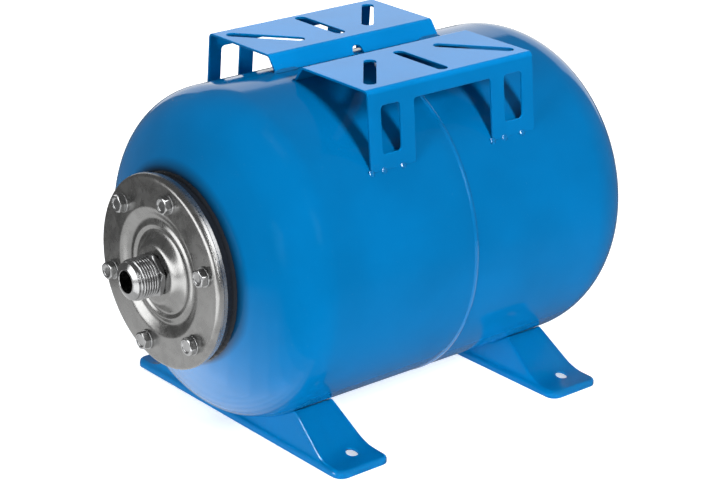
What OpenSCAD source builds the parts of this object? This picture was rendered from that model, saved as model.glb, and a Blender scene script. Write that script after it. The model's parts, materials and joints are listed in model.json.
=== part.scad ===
// Horizontal water pressure tank with a rubber bladder, a bolted end flange,
// two pressed saddle feet and a two-piece platform for a pump.
// The floor is z = 0. The origin lies midway between the four floor bolt holes.
// The tank lies along x, with its flanged end at -x.

/* [Tank body] */
// Outer diameter of the tank
tank_d = 270; // [262:1:276]
// Sheet thickness of the two tank halves
shell_t = 1.5; // [1.2:0.1:2.5]
// Straight length between the two domed ends
body_l = 273; // [255:1:300]
// Clear height under the tank
floor_gap = 12; // [10:1:20]
// Knuckle radius of the flanged end
front_knuckle_r = 45.5; // [40:0.5:55]
// Crown radius of the flanged end
front_crown_r = 242; // [225:1:260]
// Knuckle radius of the closed end
rear_knuckle_r = 55; // [48:0.5:62]
// Crown radius of the closed end
rear_crown_r = 195.5; // [185:0.5:210]
// Radius of the opening in the flanged end
mouth_r = 70; // [66:0.5:71]
// Length of the front half's lip inside the rear half
lap_l = 10; // [6:1:16]
// Width of the groove that the body weld fills
groove_w = 3; // [2:0.5:4]
// Width of the body weld
seam_w = 4.5; // [4.5:0.5:8]
// Height of the body weld
seam_h = 0.8; // [0.6:0.1:2]

/* [End flange] */
// Outer diameter of the flange plate at its rounded rim
flange_d = 157; // [154:0.1:160]
// Sheet thickness of the flange plate
flange_t = 2.5; // [2:0.1:3]
// Radius of the rounded rim, on its outer face
rim_r = 3; // [2.6:0.1:4]
// Length of the turned-back skirt, from the plate's front face
skirt_l = 10.6; // [9:0.1:12]
// How far the skirt's rear band steps in
skirt_step = 1.2; // [0.6:0.1:1.6]
// Width of the skirt's stepped rear band
skirt_band = 4; // [3:0.1:5]
// Height of the raised hub above the bolting face
hub_rise = 4; // [3:0.1:5]
// Radius of the flat seat on the hub
hub_seat_r = 22; // [21.5:0.1:24]
// Radius at the foot of the hub's cone
cone_r = 34; // [33:0.1:36]
// Depth of the dished ring below the bolting face
dish_depth = 4.2; // [3:0.1:5]
// Height of the small bead in the dished ring
bead_rise = 1.3; // [0.6:0.1:2]
// Width of the small bead in the dished ring
bead_w = 7.5; // [6:0.1:8]
// Radius where the dished ring ends and the bolting face starts
dish_r = 53.4; // [52:0.1:55]
// Width of the slope between the dished ring and the bolting face
dish_slope_w = 9; // [7:0.1:10]
// Thickness of the steel ring behind the flange
ring_t = 10.7; // [9:0.1:14]
// Bore radius of the steel ring
ring_bore_r = 56.5; // [55:0.5:57.5]
// Length of the ring's spigot in the tank's mouth
spigot_l = 4; // [3:0.5:6]
// Leg length of the weld round the steel ring
ring_weld = 2.5; // [2:0.1:3]

/* [Flange bolts] */
// Number of flange bolts
bolt_n = 6; // [6:1:6]
// Bolt circle diameter
bolt_pcd = 127.6; // [126:0.2:130]
// Thread diameter
bolt_d = 8; // [6:1:8]
// Length under the head
bolt_l = 20; // [18:1:24]
// Head height
bolt_head_h = 5.5; // [4:0.1:6]
// Head width across flats
bolt_af = 13; // [12:0.5:14]
// Angle of the first bolt above the horizontal, on the -y side
bolt_phase = 15; // [0:1:59]
// Washer thickness
washer_t = 1.6; // [1:0.1:2]
// Washer outer diameter
washer_d = 16; // [15:0.5:17]

/* [Water connection] */
// Thread outer diameter (G1 male)
port_thread_d = 33.25; // [30:0.01:34]
// Thread length
port_thread_l = 16; // [12:0.5:20]
// Bore of the connection
port_bore_d = 18; // [14:0.5:20]
// Plain nose in front of the thread
port_nose_l = 4; // [3:0.5:5]
// Plain neck between the thread and the hexagon
port_neck_l = 1; // [0.5:0.1:2]
// Hexagon width across flats
port_af = 32.5; // [31:0.5:37]
// Hexagon thickness
port_hex_t = 5; // [4:0.5:7]
// Outer diameter of the tail through the plate
port_tail_d = 25; // [23:0.5:26]
// How far the tail reaches behind the hub
port_tail_l = 8.5; // [7:0.5:12]

/* [Bladder] */
// Thickness of the clamped collar
collar_t = 4; // [3:0.1:5]
// Outer radius of the clamped collar
collar_r = 72; // [70:0.5:72.5]
// Wall of the bag
bladder_t = 2; // [1.6:0.1:2.5]
// Radius of the bag
bag_r = 104; // [95:1:112]
// Radius of the bag's rounded shoulders and end
bag_end_r = 80; // [70:1:85]
// Clear distance between the bag's end and the inside of the closed end
bag_room = 30; // [20:1:60]

/* [Feet] */
// Width of a foot along the tank
foot_w = 52.7; // [48:0.1:60]
// Length of a foot across the tank
foot_l = 277.6; // [270:0.2:290]
// Distance between the centres of the two feet
foot_pitch = 230; // [210:1:240]
// Sheet thickness of a foot
foot_t = 2; // [1.6:0.1:2.5]
// Height of the pads and the edge lip
pad_h = 6; // [5:0.1:8]
// Distance of the bolt holes from the tank's middle plane
floor_hole_y = 117; // [115:1:122]
// How far the bolt holes lie off the foot's middle, away from the flange
floor_hole_shift = 4; // [0:0.5:6]
// Diameter of the floor bolt holes
floor_hole_d = 10; // [8:0.5:11]
// Angle round the tank's axis, from straight down, where the saddle's crest lies
crest_angle = 30; // [27:0.5:32]
// Distance from the tank's middle plane where the slope runs out on the pad
slope_end = 113; // [110:1:116]
// Rounding where the slope meets the pad
pad_fillet = 40; // [30:1:50]
// Rounding of the crest
crest_r = 7; // [5:0.5:9]
// Rounding of the lip's upper edge
lip_r = 3; // [2.6:0.1:3.5]
// Plan radius of the foot's corners
foot_corner_r = 9; // [6:0.5:12]
// Lean of the front and rear faces from upright
face_lean = 14; // [8:1:18]

/* [Pump platform] */
// Length of a bracket along the tank
bracket_l = 171; // [165:1:180]
// Sheet thickness of a bracket
bracket_t = 2; // [1.6:0.1:2.5]
// Height of the platform above the top of the tank
platform_rise = 12.3; // [11:0.1:15]
// Distance of a bracket's inner edge from the middle plane
plate_in = 20.8; // [18:0.2:24]
// Distance of a bracket's outer edge from the middle plane
plate_out = 100.8; // [99:0.2:102]
// Distance from the middle plane where the inner web lands on the tank
web_land = 11.4; // [9:0.2:13]
// Distance from the middle plane where the legs land on the tank
leg_land = 106.4; // [104:0.2:108]
// Outside radius of the bends
bend_r = 4.5; // [3.5:0.5:6]
// Height of the strip above the wall's openings
strip_h = 13.3; // [12:0.1:15]
// Width of the large opening between the legs
gap_w = 80; // [72:1:84]
// Width of the window in each leg
window_w = 19; // [14:0.5:20]
// Distance of each window's middle from the bracket's middle
window_x = 63.6; // [62:0.2:65]
// Height of the strip below each window
sill_h = 12.5; // [10:0.5:14]
// Corner radius of the wall's openings
window_r = 3; // [2:0.5:4]
// Width of the notch where the web crosses the body weld
notch_w = 10; // [8:0.5:12]
// Height of that notch, up the web
notch_h = 8; // [6.5:0.5:10]
// Width of the pump slots
slot_w = 10; // [8:0.5:11]
// Length of the middle pump slots, end to end
slot_l = 60; // [50:1:62]
// Length of the slanted pump slots, end to end
slant_l = 65; // [50:1:66]
// Distance of each slot's middle from the tank's middle plane
slot_y = 63; // [62:0.5:64]
// Distance of the slanted slots' middles from the bracket's middle
slot_x = 54; // [52:0.5:55]
// How far the pair of slanted slots lies off the bracket's middle
slot_shift = 2.5; // [0:0.5:3]
// Slant of the outer slots
slot_slant = 40; // [30:1:42]
// Radius of the weld tacks under the legs
tack_r = 2.6; // [2:0.1:3]
// Radius of the weld beads along the web
web_bead_r = 2.4; // [2:0.1:3]
// Length of each weld bead along the web
web_bead_l = 20; // [12:1:30]

/* [Air valve] */
// Outer radius of the welded boss
boss_r = 12; // [10:0.5:14]
// Height of the boss
boss_h = 4; // [3:0.5:6]
// Radius of the boss's spigot in the tank
boss_spigot_r = 8; // [7:0.5:9]
// Radius of the valve's threaded shank
shank_r = 5; // [4:0.1:5.5]
// Thickness of the sealing ring
seal_t = 1; // [0.8:0.1:1.5]
// Width of the valve's hexagon across flats
valve_af = 14; // [13:0.5:15]
// Thickness of the valve's hexagon
valve_hex_t = 5; // [4:0.5:6]
// Radius of the valve's nose
nose_r = 3.9; // [3.6:0.1:4.2]
// Length of the valve's nose
nose_l = 8; // [7:0.5:11]
// Bore radius of the valve
valve_bore_r = 2.6; // [2.4:0.1:2.8]
// Length of the valve core
core_l = 12; // [10:0.5:13]
// Wall of the valve cap
cap_t = 1.6; // [1.2:0.1:2.2]

/* [Clearances] */
// Gap between the tank and what is welded on it
weld_gap = 0.15; // [0.1:0.05:0.25]
// Gap round the bolts in their holes
bolt_fit = 0.2; // [0.1:0.05:0.3]
// Gap round turned pieces in their seats
turned_fit = 0.3; // [0.2:0.05:0.4]
// Gap between the overlapping halves
lap_gap = 0.1; // [0.05:0.05:0.2]

/* [Hidden] */

$fn = 96;
PAINT = "#007cc4";
ZINC = "#9a9a98";
STEEL = "#c4c6c8";
BLACK = "#1c2024";
BRASS = "#b59a4c";

tank_r = tank_d / 2;
axis_h = tank_r + floor_gap;
half_l = body_l / 2;
seam_x = -floor_hole_shift;
arc_steps = 12;
curve_steps = 6;
cut_over = 1;

// Distance from a crown's centre to the line where its dome starts
function crown_back(knuckle, crown) =
    sqrt(pow(crown - knuckle, 2) - pow(tank_r - knuckle, 2));
// Height of a dome's outside at radius r, above the line where the dome starts
function dome_height(r, knuckle, crown) =
    sqrt(pow(crown, 2) - pow(r, 2)) - crown_back(knuckle, crown);
// Dome profile as [radius, height] points, from radius r_min to the cylinder
function dome(inset, knuckle, crown, r_min) =
    let (
        back = crown_back(knuckle, crown),
        crown_in = crown - inset,
        knuckle_in = knuckle - inset,
        meet = atan2(tank_r - knuckle, back),
        start = asin(r_min / crown_in)
    )
    concat(
        [for (i = [0:arc_steps])
            let (a = start + (meet - start) * i / arc_steps)
            [crown_in * sin(a), crown_in * cos(a) - back]],
        [for (i = [1:arc_steps])
            let (a = meet + (90 - meet) * i / arc_steps)
            [tank_r - knuckle + knuckle_in * sin(a), knuckle_in * cos(a)]]
    );
// The same points in the other order
function reversed(points) = [for (i = [len(points) - 1:-1:0]) points[i]];
// Profile points moved to the front (-1) or the rear (1) end of the tank
function at_end(points, side) = [for (p = points) [p[0], side * (half_l + p[1])]];
// Arc of radius r about a centre, from angle a to angle b
function arc(centre, r, a, b, steps = arc_steps) =
    [for (i = [0:steps])
        let (t = a + (b - a) * i / steps)
        centre + r * [cos(t), sin(t)]];
// Smooth step between two points, level at both ends
function ease(p, q, steps = curve_steps) =
    [for (i = [1:steps])
        let (t = i / steps)
        [p[0] + (q[0] - p[0]) * t, p[1] + (q[1] - p[1]) * (1 - cos(180 * t)) / 2]];
// Outline of a rectangle with rounded corners, centred on the origin
function rounded_box(w, h, r) =
    concat(
        arc([w / 2 - r, h / 2 - r], r, 0, 90, curve_steps),
        arc([r - w / 2, h / 2 - r], r, 90, 180, curve_steps),
        arc([r - w / 2, r - h / 2], r, 180, 270, curve_steps),
        arc([w / 2 - r, r - h / 2], r, 270, 360, curve_steps)
    );
function unit(v) = v / norm(v);

// Turns a [radius, x] profile about the tank's axis
module turned(points) {
    translate([seam_x, 0, axis_h])
        rotate([0, 90, 0])
            rotate_extrude() polygon(points);
}

// A cylinder of radius r along the tank's axis, from x = a to x = b off the seam plane
module along_axis(r, a, b) {
    translate([seam_x + a, 0, axis_h])
        rotate([0, 90, 0])
            cylinder(r = r, h = b - a);
}

// Places its children, which point along -x from the flange's face, at flange bolt i
module at_bolt(i) {
    a = bolt_phase + 360 / bolt_n * i;
    translate([seam_x, -bolt_pcd / 2 * cos(a), axis_h + bolt_pcd / 2 * sin(a)])
        children();
}

// Tank halves and their weld

rear_apex = half_l + dome_height(0, rear_knuckle_r, rear_crown_r);
lap_outer_r = tank_r - shell_t - lap_gap;

// Front half: a deep-drawn cup with the mouth in its dome and a set-in lip at its edge
module front_shell() {
    outer = at_end(dome(0, front_knuckle_r, front_crown_r, mouth_r), -1);
    inner = at_end(dome(shell_t, front_knuckle_r, front_crown_r, mouth_r), -1);
    color(PAINT) turned(concat(
        outer,
        [
            [tank_r, -groove_w / 2],
            [lap_outer_r, groove_w / 2],
            [lap_outer_r, groove_w / 2 + lap_l],
            [lap_outer_r - shell_t, groove_w / 2 + lap_l],
            [lap_outer_r - shell_t, groove_w / 2],
            [tank_r - shell_t, -groove_w / 2]
        ],
        reversed(inner)
    ));
}

// Rear half: a deep-drawn cup with the hole for the air valve's boss in its dome
module rear_shell() {
    hole_r = boss_spigot_r + turned_fit;
    outer = at_end(dome(0, rear_knuckle_r, rear_crown_r, hole_r), 1);
    inner = at_end(dome(shell_t, rear_knuckle_r, rear_crown_r, hole_r), 1);
    color(PAINT) turned(concat(
        outer,
        [[tank_r, groove_w / 2], [tank_r - shell_t, groove_w / 2]],
        reversed(inner)
    ));
}

// Weld bead that fills the groove between the halves
module seam_weld() {
    crown = [for (i = [0:arc_steps])
        let (t = i / arc_steps)
        [tank_r + seam_h * sin(180 * t), seam_w * (t - 0.5)]];
    color(PAINT) turned(concat(
        crown,
        [[tank_r, groove_w / 2], [tank_r - shell_t, groove_w / 2], [tank_r, -groove_w / 2]]
    ));
}

// Flange end: steel ring, its weld, bladder, pressed plate and water connection

ring_back = half_l + dome_height(mouth_r, front_knuckle_r, front_crown_r) + weld_gap;
ring_front = ring_back + ring_t;
spigot_end = ring_back - spigot_l;
collar_front = ring_front + collar_t;
flange_face = collar_front + flange_t;
skirt_out_r = flange_d / 2;
skirt_end_r = skirt_out_r - skirt_step;
ring_r = skirt_end_r - flange_t - turned_fit;
hub_face = flange_face + hub_rise;
bolt_hole_d = bolt_d + 2 * bolt_fit;
chamfer = 1;
head_chamfer = 0.8;
dish_wall = 1.8;
bolt_turns = [8, 41, 22, 50, 15, 33];

// Ring that the flange bolts screw into, set in the tank's mouth
module counter_flange() {
    color(BLACK) difference() {
        turned([
            [ring_bore_r, -ring_front],
            [ring_r - chamfer, -ring_front],
            [ring_r, -ring_front + chamfer],
            [ring_r, -ring_back],
            [mouth_r - turned_fit, -ring_back],
            [mouth_r - turned_fit, -spigot_end],
            [ring_bore_r, -spigot_end]
        ]);
        for (i = [0:bolt_n - 1])
            at_bolt(i)
                translate([-ring_front - cut_over, 0, 0])
                    rotate([0, 90, 0])
                        cylinder(d = bolt_hole_d, h = ring_t + spigot_l + 2 * cut_over);
    }
}

// Fillet weld between the ring and the tank's dome
module counter_flange_weld() {
    toe_r = ring_r + ring_weld;
    inner_x = half_l + dome_height(ring_r, front_knuckle_r, front_crown_r) + weld_gap;
    toe_x = half_l + dome_height(toe_r, front_knuckle_r, front_crown_r) + weld_gap;
    color(BLACK) turned([
        [ring_r, -inner_x],
        [ring_r, -inner_x - ring_weld],
        [ring_r + ring_weld * 0.6, -inner_x - ring_weld * 0.6],
        [toe_r, -toe_x]
    ]);
}

// Outline of the bag, inset by d: shoulder, straight side and rounded end
function bag(d, start, front_x, rear_x) =
    let (c = bag_r - bag_end_r, r = bag_end_r - d)
    concat(
        [for (p = arc([c, 0], r, 90 - start, 0)) [p[0], -front_x - p[1]]],
        [for (p = arc([c, 0], r, 0, 90)) [p[0], rear_x + p[1]]],
        [[0, rear_x + r]]
    );

// Rubber bag whose flat collar is clamped between the ring and the plate
module bladder() {
    neck_r = ring_bore_r - turned_fit;
    flare = 6;
    start = asin((neck_r + flare - bag_r + bag_end_r) / bag_end_r);
    shoulder = spigot_end - flare;
    front_x = shoulder - flare - bag_end_r * cos(start);
    rear_x = rear_apex - bag_room - bag_end_r;
    color("#26282a") difference() {
        turned(concat(
            [
                [neck_r - bladder_t, -collar_front],
                [collar_r, -collar_front],
                [collar_r, -ring_front],
                [neck_r, -ring_front],
                [neck_r, -shoulder]
            ],
            bag(0, start, front_x, rear_x),
            reversed(bag(bladder_t, start, front_x, rear_x)),
            [[neck_r - bladder_t, -shoulder]]
        ));
        for (i = [0:bolt_n - 1])
            at_bolt(i)
                translate([-collar_front - cut_over, 0, 0])
                    rotate([0, 90, 0])
                        cylinder(d = bolt_hole_d, h = collar_t + 2 * cut_over);
    }
}

// Pressed flange plate: hub, cone, dished ring with a bead, bolting face, rim and skirt
module flange_plate() {
    hole_r = port_tail_d / 2 + turned_fit;
    bead_out = cone_r + bead_w;
    rim_in = skirt_out_r - rim_r;
    step_x = skirt_l - skirt_band;
    // Face points as [radius, depth behind the bolting face]
    face = concat(
        [[hole_r, -hub_rise], [hub_seat_r, -hub_rise]],
        ease([hub_seat_r, -hub_rise], [cone_r, dish_depth]),
        ease([cone_r, dish_depth], [cone_r + bead_w / 2, dish_depth - bead_rise]),
        ease([cone_r + bead_w / 2, dish_depth - bead_rise], [bead_out, dish_depth]),
        [[dish_r - dish_slope_w, dish_depth]],
        ease([dish_r - dish_slope_w, dish_depth], [dish_r, 0])
    );
    rim = [for (i = [0:curve_steps])
        let (a = 90 * i / curve_steps)
        [rim_in + rim_r * sin(a), rim_r * (1 - cos(a))]];
    rim_inside_r = rim_r - flange_t;
    rim_inside = [for (i = [curve_steps:-1:0])
        let (a = 90 * i / curve_steps)
        [rim_in + rim_inside_r * sin(a), rim_r - rim_inside_r * cos(a)]];
    skirt = [
        [skirt_out_r, step_x],
        [skirt_end_r, step_x + skirt_step / 2],
        [skirt_end_r, skirt_l],
        [skirt_end_r - flange_t, skirt_l],
        [skirt_end_r - flange_t, step_x + skirt_step / 2],
        [skirt_out_r - flange_t, step_x]
    ];
    outline = concat(
        face, rim, skirt, rim_inside,
        [for (p = reversed(face)) p + [0, flange_t]]
    );
    color(ZINC) difference() {
        turned([for (p = outline) [p[0], p[1] - flange_face]]);
        for (i = [0:bolt_n - 1])
            at_bolt(i)
                translate([-flange_face - cut_over, 0, 0])
                    rotate([0, 90, 0])
                        cylinder(d = bolt_hole_d, h = flange_t + 2 * cut_over);
    }
}

port_hex_face = hub_face + port_hex_t;
port_end = port_hex_face + port_neck_l + port_thread_l + port_nose_l;
port_tail_end = hub_face - port_tail_l;

// Male water connection: bored nose, thread, hexagon on the hub and a tail through it
module connector() {
    thread_r = port_thread_d / 2;
    root_r = thread_r - 1.5;
    thread_start = port_hex_face + port_neck_l;
    thread_end = thread_start + port_thread_l;
    bore_r = port_bore_d / 2;
    tail_r = port_tail_d / 2;
    color(STEEL) difference() {
        union() {
            turned([
                [0, -port_end],
                [bore_r + 1.6, -port_end],
                [root_r - 0.6, -port_end + 2],
                [root_r, -port_end + 2.8],
                [root_r, -thread_end - 0.8],
                [thread_r, -thread_end],
                [thread_r, -thread_start],
                [root_r, -thread_start + 0.4],
                [root_r, -port_hex_face],
                [root_r, -hub_face],
                [tail_r, -hub_face],
                [tail_r, -port_tail_end],
                [0, -port_tail_end]
            ]);
            translate([seam_x - port_hex_face, 0, axis_h])
                rotate([0, 90, 0])
                    cylinder(d = port_af / cos(30), h = port_hex_t, $fn = 6);
        }
        along_axis(bore_r, -port_end - cut_over, -port_tail_end + cut_over);
    }
}

// Fillet weld between the connection's tail and the back of the hub
module connector_weld() {
    tail_r = port_tail_d / 2;
    back = hub_face - flange_t;
    leg = 3;
    color(STEEL) turned([
        [tail_r, -back],
        [tail_r + leg, -back],
        [tail_r + leg * 0.6, -back + leg * 0.6],
        [tail_r, -back + leg]
    ]);
}

// Flange bolt with a chamfered hexagon head dished on top, turned as it was tightened
module flange_bolt(i) {
    seat = flange_face + washer_t;
    corner_r = bolt_af / cos(30) / 2;
    flat_r = bolt_af / 2 - dish_wall / 4;
    color(STEEL) at_bolt(i) translate([-seat, 0, 0]) rotate([0, -90, 0]) {
        difference() {
            intersection() {
                rotate([0, 0, bolt_turns[i % len(bolt_turns)]])
                    cylinder(r = corner_r, h = bolt_head_h, $fn = 6);
                rotate_extrude() polygon([
                    [0, 0],
                    [2 * corner_r - flat_r, 0],
                    [2 * corner_r - flat_r, bolt_head_h - 2 * head_chamfer],
                    [flat_r, bolt_head_h],
                    [0, bolt_head_h]
                ]);
            }
            translate([0, 0, bolt_head_h - dish_wall / 2])
                cylinder(r = bolt_af / 2 - dish_wall, h = dish_wall);
        }
        translate([0, 0, -bolt_l]) cylinder(d = bolt_d, h = bolt_l);
    }
}

module flange_washer(i) {
    color(STEEL) at_bolt(i)
        translate([-flange_face - washer_t, 0, 0])
            rotate([0, 90, 0])
                difference() {
                    cylinder(d = washer_d, h = washer_t);
                    translate([0, 0, -cut_over])
                        cylinder(d = bolt_hole_d, h = washer_t + 2 * cut_over);
                }
}

// Feet

saddle_r = tank_r + weld_gap;

// Upper outline of a foot seen along the tank, inset by d: pad, slope and crest,
// on the side where y is positive. The saddle is cut from it afterwards.
function foot_side(d) =
    let (
        tank_axis = [0, axis_h],
        crest = tank_axis + saddle_r * [sin(crest_angle), -cos(crest_angle)],
        toe = [slope_end, pad_h],
        down = unit(toe - crest),
        slope = -atan2(down[1], down[0]),
        into = [-sin(slope), -cos(slope)],
        fillet = pad_fillet + d,
        // Centre of the crest's rounding, tangent to the slope and the saddle
        w = crest + crest_r * into - tank_axis,
        s = -(w * down) + sqrt(pow(w * down, 2) - w * w + pow(saddle_r + crest_r, 2)),
        crest_c = crest + crest_r * into + s * down,
        toward = atan2(tank_axis[1] - crest_c[1], tank_axis[0] - crest_c[0]),
        // Centre of the hollow rounding, above the pad and the slope
        run = pad_fillet * tan(slope / 2),
        fillet_c = [slope_end + run, pad_h + pad_fillet],
        end_y = foot_l / 2,
        edge_r = lip_r - d
    )
    concat(
        [[end_y - d, -cut_over * d]],
        arc([end_y - lip_r, pad_h - lip_r], edge_r, 0, 90, curve_steps),
        [for (a = [0:arc_steps])
            let (t = 270 - slope * a / arc_steps)
            fillet_c + fillet * [cos(t), sin(t)]],
        arc(crest_c, crest_r - d, 90 - slope, toward, curve_steps)
    );

// Outline of a foot seen across the tank, inset by d, on the side where x is positive
function foot_face(d) =
    let (
        top_z = axis_h,
        base_x = foot_w / 2 - lip_r,
        base = [base_x + d * tan(face_lean) - d / cos(face_lean), pad_h - d]
    )
    concat(
        [[foot_w / 2 - d, -cut_over * d]],
        arc([foot_w / 2 - lip_r, pad_h - lip_r], lip_r - d, 0, 90, curve_steps),
        [base, base + (top_z - base[1]) * [-tan(face_lean), 1]]
    );

// Solid form of a foot, inset by d from its outer faces
module foot_form(d) {
    side = foot_side(d);
    face = foot_face(d);
    difference() {
        intersection() {
            rotate([90, 0, 90])
                translate([0, 0, -foot_w])
                    linear_extrude(2 * foot_w)
                        polygon(concat(side, [for (p = reversed(side)) [-p[0], p[1]]]));
            rotate([90, 0, 0])
                translate([0, 0, -foot_l])
                    linear_extrude(2 * foot_l)
                        polygon(concat(face, [for (p = reversed(face)) [-p[0], p[1]]]));
            translate([0, 0, -cut_over * 2])
                linear_extrude(axis_h)
                    polygon(rounded_box(foot_w - 2 * d, foot_l - 2 * d, foot_corner_r - d));
        }
        translate([-foot_w, 0, axis_h])
            rotate([0, 90, 0])
                cylinder(r = saddle_r + d, h = 2 * foot_w);
    }
}

// Pressed saddle foot on the front (-1) or the rear (1) side of the body weld
module foot(side) {
    color(PAINT) translate([seam_x + side * foot_pitch / 2, 0, 0]) difference() {
        foot_form(0);
        foot_form(foot_t);
        for (y = [-floor_hole_y, floor_hole_y])
            translate([floor_hole_shift, y, -cut_over])
                cylinder(d = floor_hole_d, h = 3 * pad_h);
    }
}

// Pump platform: two equal brackets, the second turned half a turn

platform_h = axis_h + tank_r + platform_rise;

// Where a point at distance u from the middle plane lands on the tank
function landing(u) = [u, axis_h + sqrt(pow(saddle_r, 2) - pow(u, 2))];
web_top = [plate_in, platform_h];
leg_top = [plate_out, platform_h];
web_foot = landing(web_land);
leg_foot = landing(leg_land);
sheet_over = 5;

// Outer or inner face of a bend at v, between the directions a and b, at radius r
function bend(v, a, b, r) =
    let (
        half = acos(a * b) / 2,
        centre = v + unit(a + b) * bend_r / sin(half),
        from = v + a * bend_r / tan(half) - centre,
        to = v + b * bend_r / tan(half) - centre,
        start = atan2(from[1], from[0]),
        turn = atan2(from[0] * to[1] - from[1] * to[0], from * to)
    )
    arc(centre, r, start, start + turn, curve_steps);

// Cross-section of a bracket as [distance from the middle plane, height]
function bracket_section() =
    let (
        web_down = unit(web_foot - web_top),
        leg_down = unit(leg_foot - leg_top),
        along = [1, 0],
        web_end = web_foot + web_down * sheet_over,
        leg_end = leg_foot + leg_down * sheet_over,
        web_side = [-web_down[1], web_down[0]],
        leg_side = [leg_down[1], -leg_down[0]],
        inner_r = bend_r - bracket_t
    )
    concat(
        [web_end],
        bend(web_top, web_down, along, bend_r),
        bend(leg_top, -along, leg_down, bend_r),
        [leg_end, leg_end + leg_side * bracket_t],
        reversed(bend(leg_top, -along, leg_down, inner_r)),
        reversed(bend(web_top, web_down, along, inner_r)),
        [web_end + web_side * bracket_t]
    );

// Opening through the leaning wall, w wide, from height bottom to height top
module wall_opening(x, w, bottom, top) {
    translate([x, 0, (top + bottom) / 2])
        rotate([90, 0, 0])
            translate([0, 0, plate_out - 3 * bracket_t - bend_r / 2])
                linear_extrude(2 * (leg_land - plate_out) + 6 * bracket_t)
                    polygon(rounded_box(w, top - bottom, window_r));
}

// Pump slot of length l with round ends, through the plate
module pump_slot(x, slant, l) {
    reach = (l - slot_w) / 2;
    translate([x, -slot_y, platform_h - 2 * bracket_t])
        rotate([0, 0, slant])
            linear_extrude(3 * bracket_t) {
                for (s = [-1, 1]) translate([0, s * reach]) circle(d = slot_w);
                translate([-slot_w / 2, -reach]) square([slot_w, 2 * reach]);
            }
}

// Bracket on the -y side, about the seam plane
module bracket_shape() {
    window_top = platform_h - strip_h;
    window_bottom = leg_foot[1] + sill_h;
    difference() {
        translate([-bracket_l / 2, 0, 0])
            rotate([90, 0, 90])
                linear_extrude(bracket_l)
                    polygon([for (p = bracket_section()) [-p[0], p[1]]]);
        translate([-bracket_l, 0, axis_h])
            rotate([0, 90, 0])
                cylinder(r = saddle_r, h = 2 * bracket_l);
        wall_opening(0, gap_w, leg_foot[1] - 6 * window_r, window_top);
        for (s = [-1, 1]) {
            wall_opening(s * window_x, window_w, window_bottom, window_top);
            pump_slot(s * slot_x + slot_shift, s * slot_slant, slant_l);
        }
        pump_slot(0, 0, slot_l);
        translate([0, -web_foot[0], web_foot[1]])
            rotate([atan2(plate_in - web_land, platform_h - web_foot[1]), 0, 0])
                rotate([90, 0, 0])
                    translate([0, 0, -3 * bracket_t])
                        linear_extrude(6 * bracket_t) {
                            translate([0, notch_h - notch_w / 2]) circle(d = notch_w);
                            translate([-notch_w / 2, -sheet_over])
                                square([notch_w, notch_h - notch_w / 2 + sheet_over]);
                        }
    }
}

// Room taken by a sheet that leaves the tank at p towards q, with its outer side at hand
module sheet_back(p, q, hand) {
    up = unit(q - p);
    side = hand * [up[1], -up[0]];
    depth = 12;
    translate([-bracket_l, 0, 0])
        rotate([90, 0, 90])
            linear_extrude(2 * bracket_l)
                polygon([for (v = [p - up * depth, p + up * depth,
                                   p + up * depth + side * depth,
                                   p - up * depth + side * depth])
                    [-v[0], v[1]]]);
}

// Weld tacks under the legs and weld beads at the ends of the web, -y side
module bracket_weld_shape() {
    leg_w = (bracket_l - gap_w) / 2;
    difference() {
        union() {
            for (leg = [-bracket_l / 2, gap_w / 2], step = [0, 0.28, 0.7])
                translate([leg + step * leg_w, -leg_foot[0], leg_foot[1]])
                    sphere(r = tack_r);
        }
        translate([-bracket_l, 0, axis_h])
            rotate([0, 90, 0])
                cylinder(r = tank_r, h = 2 * bracket_l);
        sheet_back(leg_foot, leg_top, -1);
    }
    difference() {
        for (s = [-1, 1])
            translate([s * (bracket_l - web_bead_l) / 2, -web_foot[0], web_foot[1]]) {
                rotate([0, 90, 0]) cylinder(r = web_bead_r, h = web_bead_l, center = true);
                for (e = [-1, 1])
                    translate([e * web_bead_l / 2, 0, 0]) sphere(r = web_bead_r);
            }
        translate([-bracket_l, 0, axis_h])
            rotate([0, 90, 0])
                cylinder(r = tank_r, h = 2 * bracket_l);
        sheet_back(web_foot, web_top, 1);
    }
}

module right_bracket() {
    color(PAINT) translate([seam_x, 0, 0]) bracket_shape();
}

module left_bracket() {
    color(PAINT) translate([seam_x, 0, 0]) rotate([0, 0, 180]) bracket_shape();
}

module right_bracket_welds() {
    color(PAINT) translate([seam_x, 0, 0]) bracket_weld_shape();
}

module left_bracket_welds() {
    color(PAINT) translate([seam_x, 0, 0]) rotate([0, 0, 180]) bracket_weld_shape();
}

// Air valve in the middle of the closed end

boss_top = rear_apex + weld_gap + boss_h;
seal_top = boss_top + seal_t;
valve_hex_top = seal_top + valve_hex_t;
nose_top = valve_hex_top + nose_l;
shank_bottom = rear_apex - shell_t - boss_h / 2;

module valve_boss() {
    color(PAINT) turned([
        [shank_r + bolt_fit, boss_top],
        [boss_r - chamfer, boss_top],
        [boss_r, boss_top - chamfer],
        [boss_r, rear_apex + weld_gap],
        [boss_spigot_r, rear_apex + weld_gap],
        [boss_spigot_r, shank_bottom],
        [shank_r + bolt_fit, shank_bottom]
    ]);
}

module valve_seal() {
    color(BLACK) turned([
        [shank_r + bolt_fit, boss_top],
        [valve_af / 2 + 0.5, boss_top],
        [valve_af / 2 + 0.5, seal_top],
        [shank_r + bolt_fit, seal_top]
    ]);
}

module valve_stem() {
    color(BRASS) difference() {
        union() {
            along_axis(shank_r, shank_bottom, seal_top);
            translate([seam_x + seal_top, 0, axis_h])
                rotate([0, 90, 0])
                    cylinder(d = valve_af / cos(30), h = valve_hex_t, $fn = 6);
            along_axis(nose_r, valve_hex_top, nose_top);
        }
        along_axis(valve_bore_r, shank_bottom - cut_over, nose_top + cut_over);
    }
}

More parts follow.
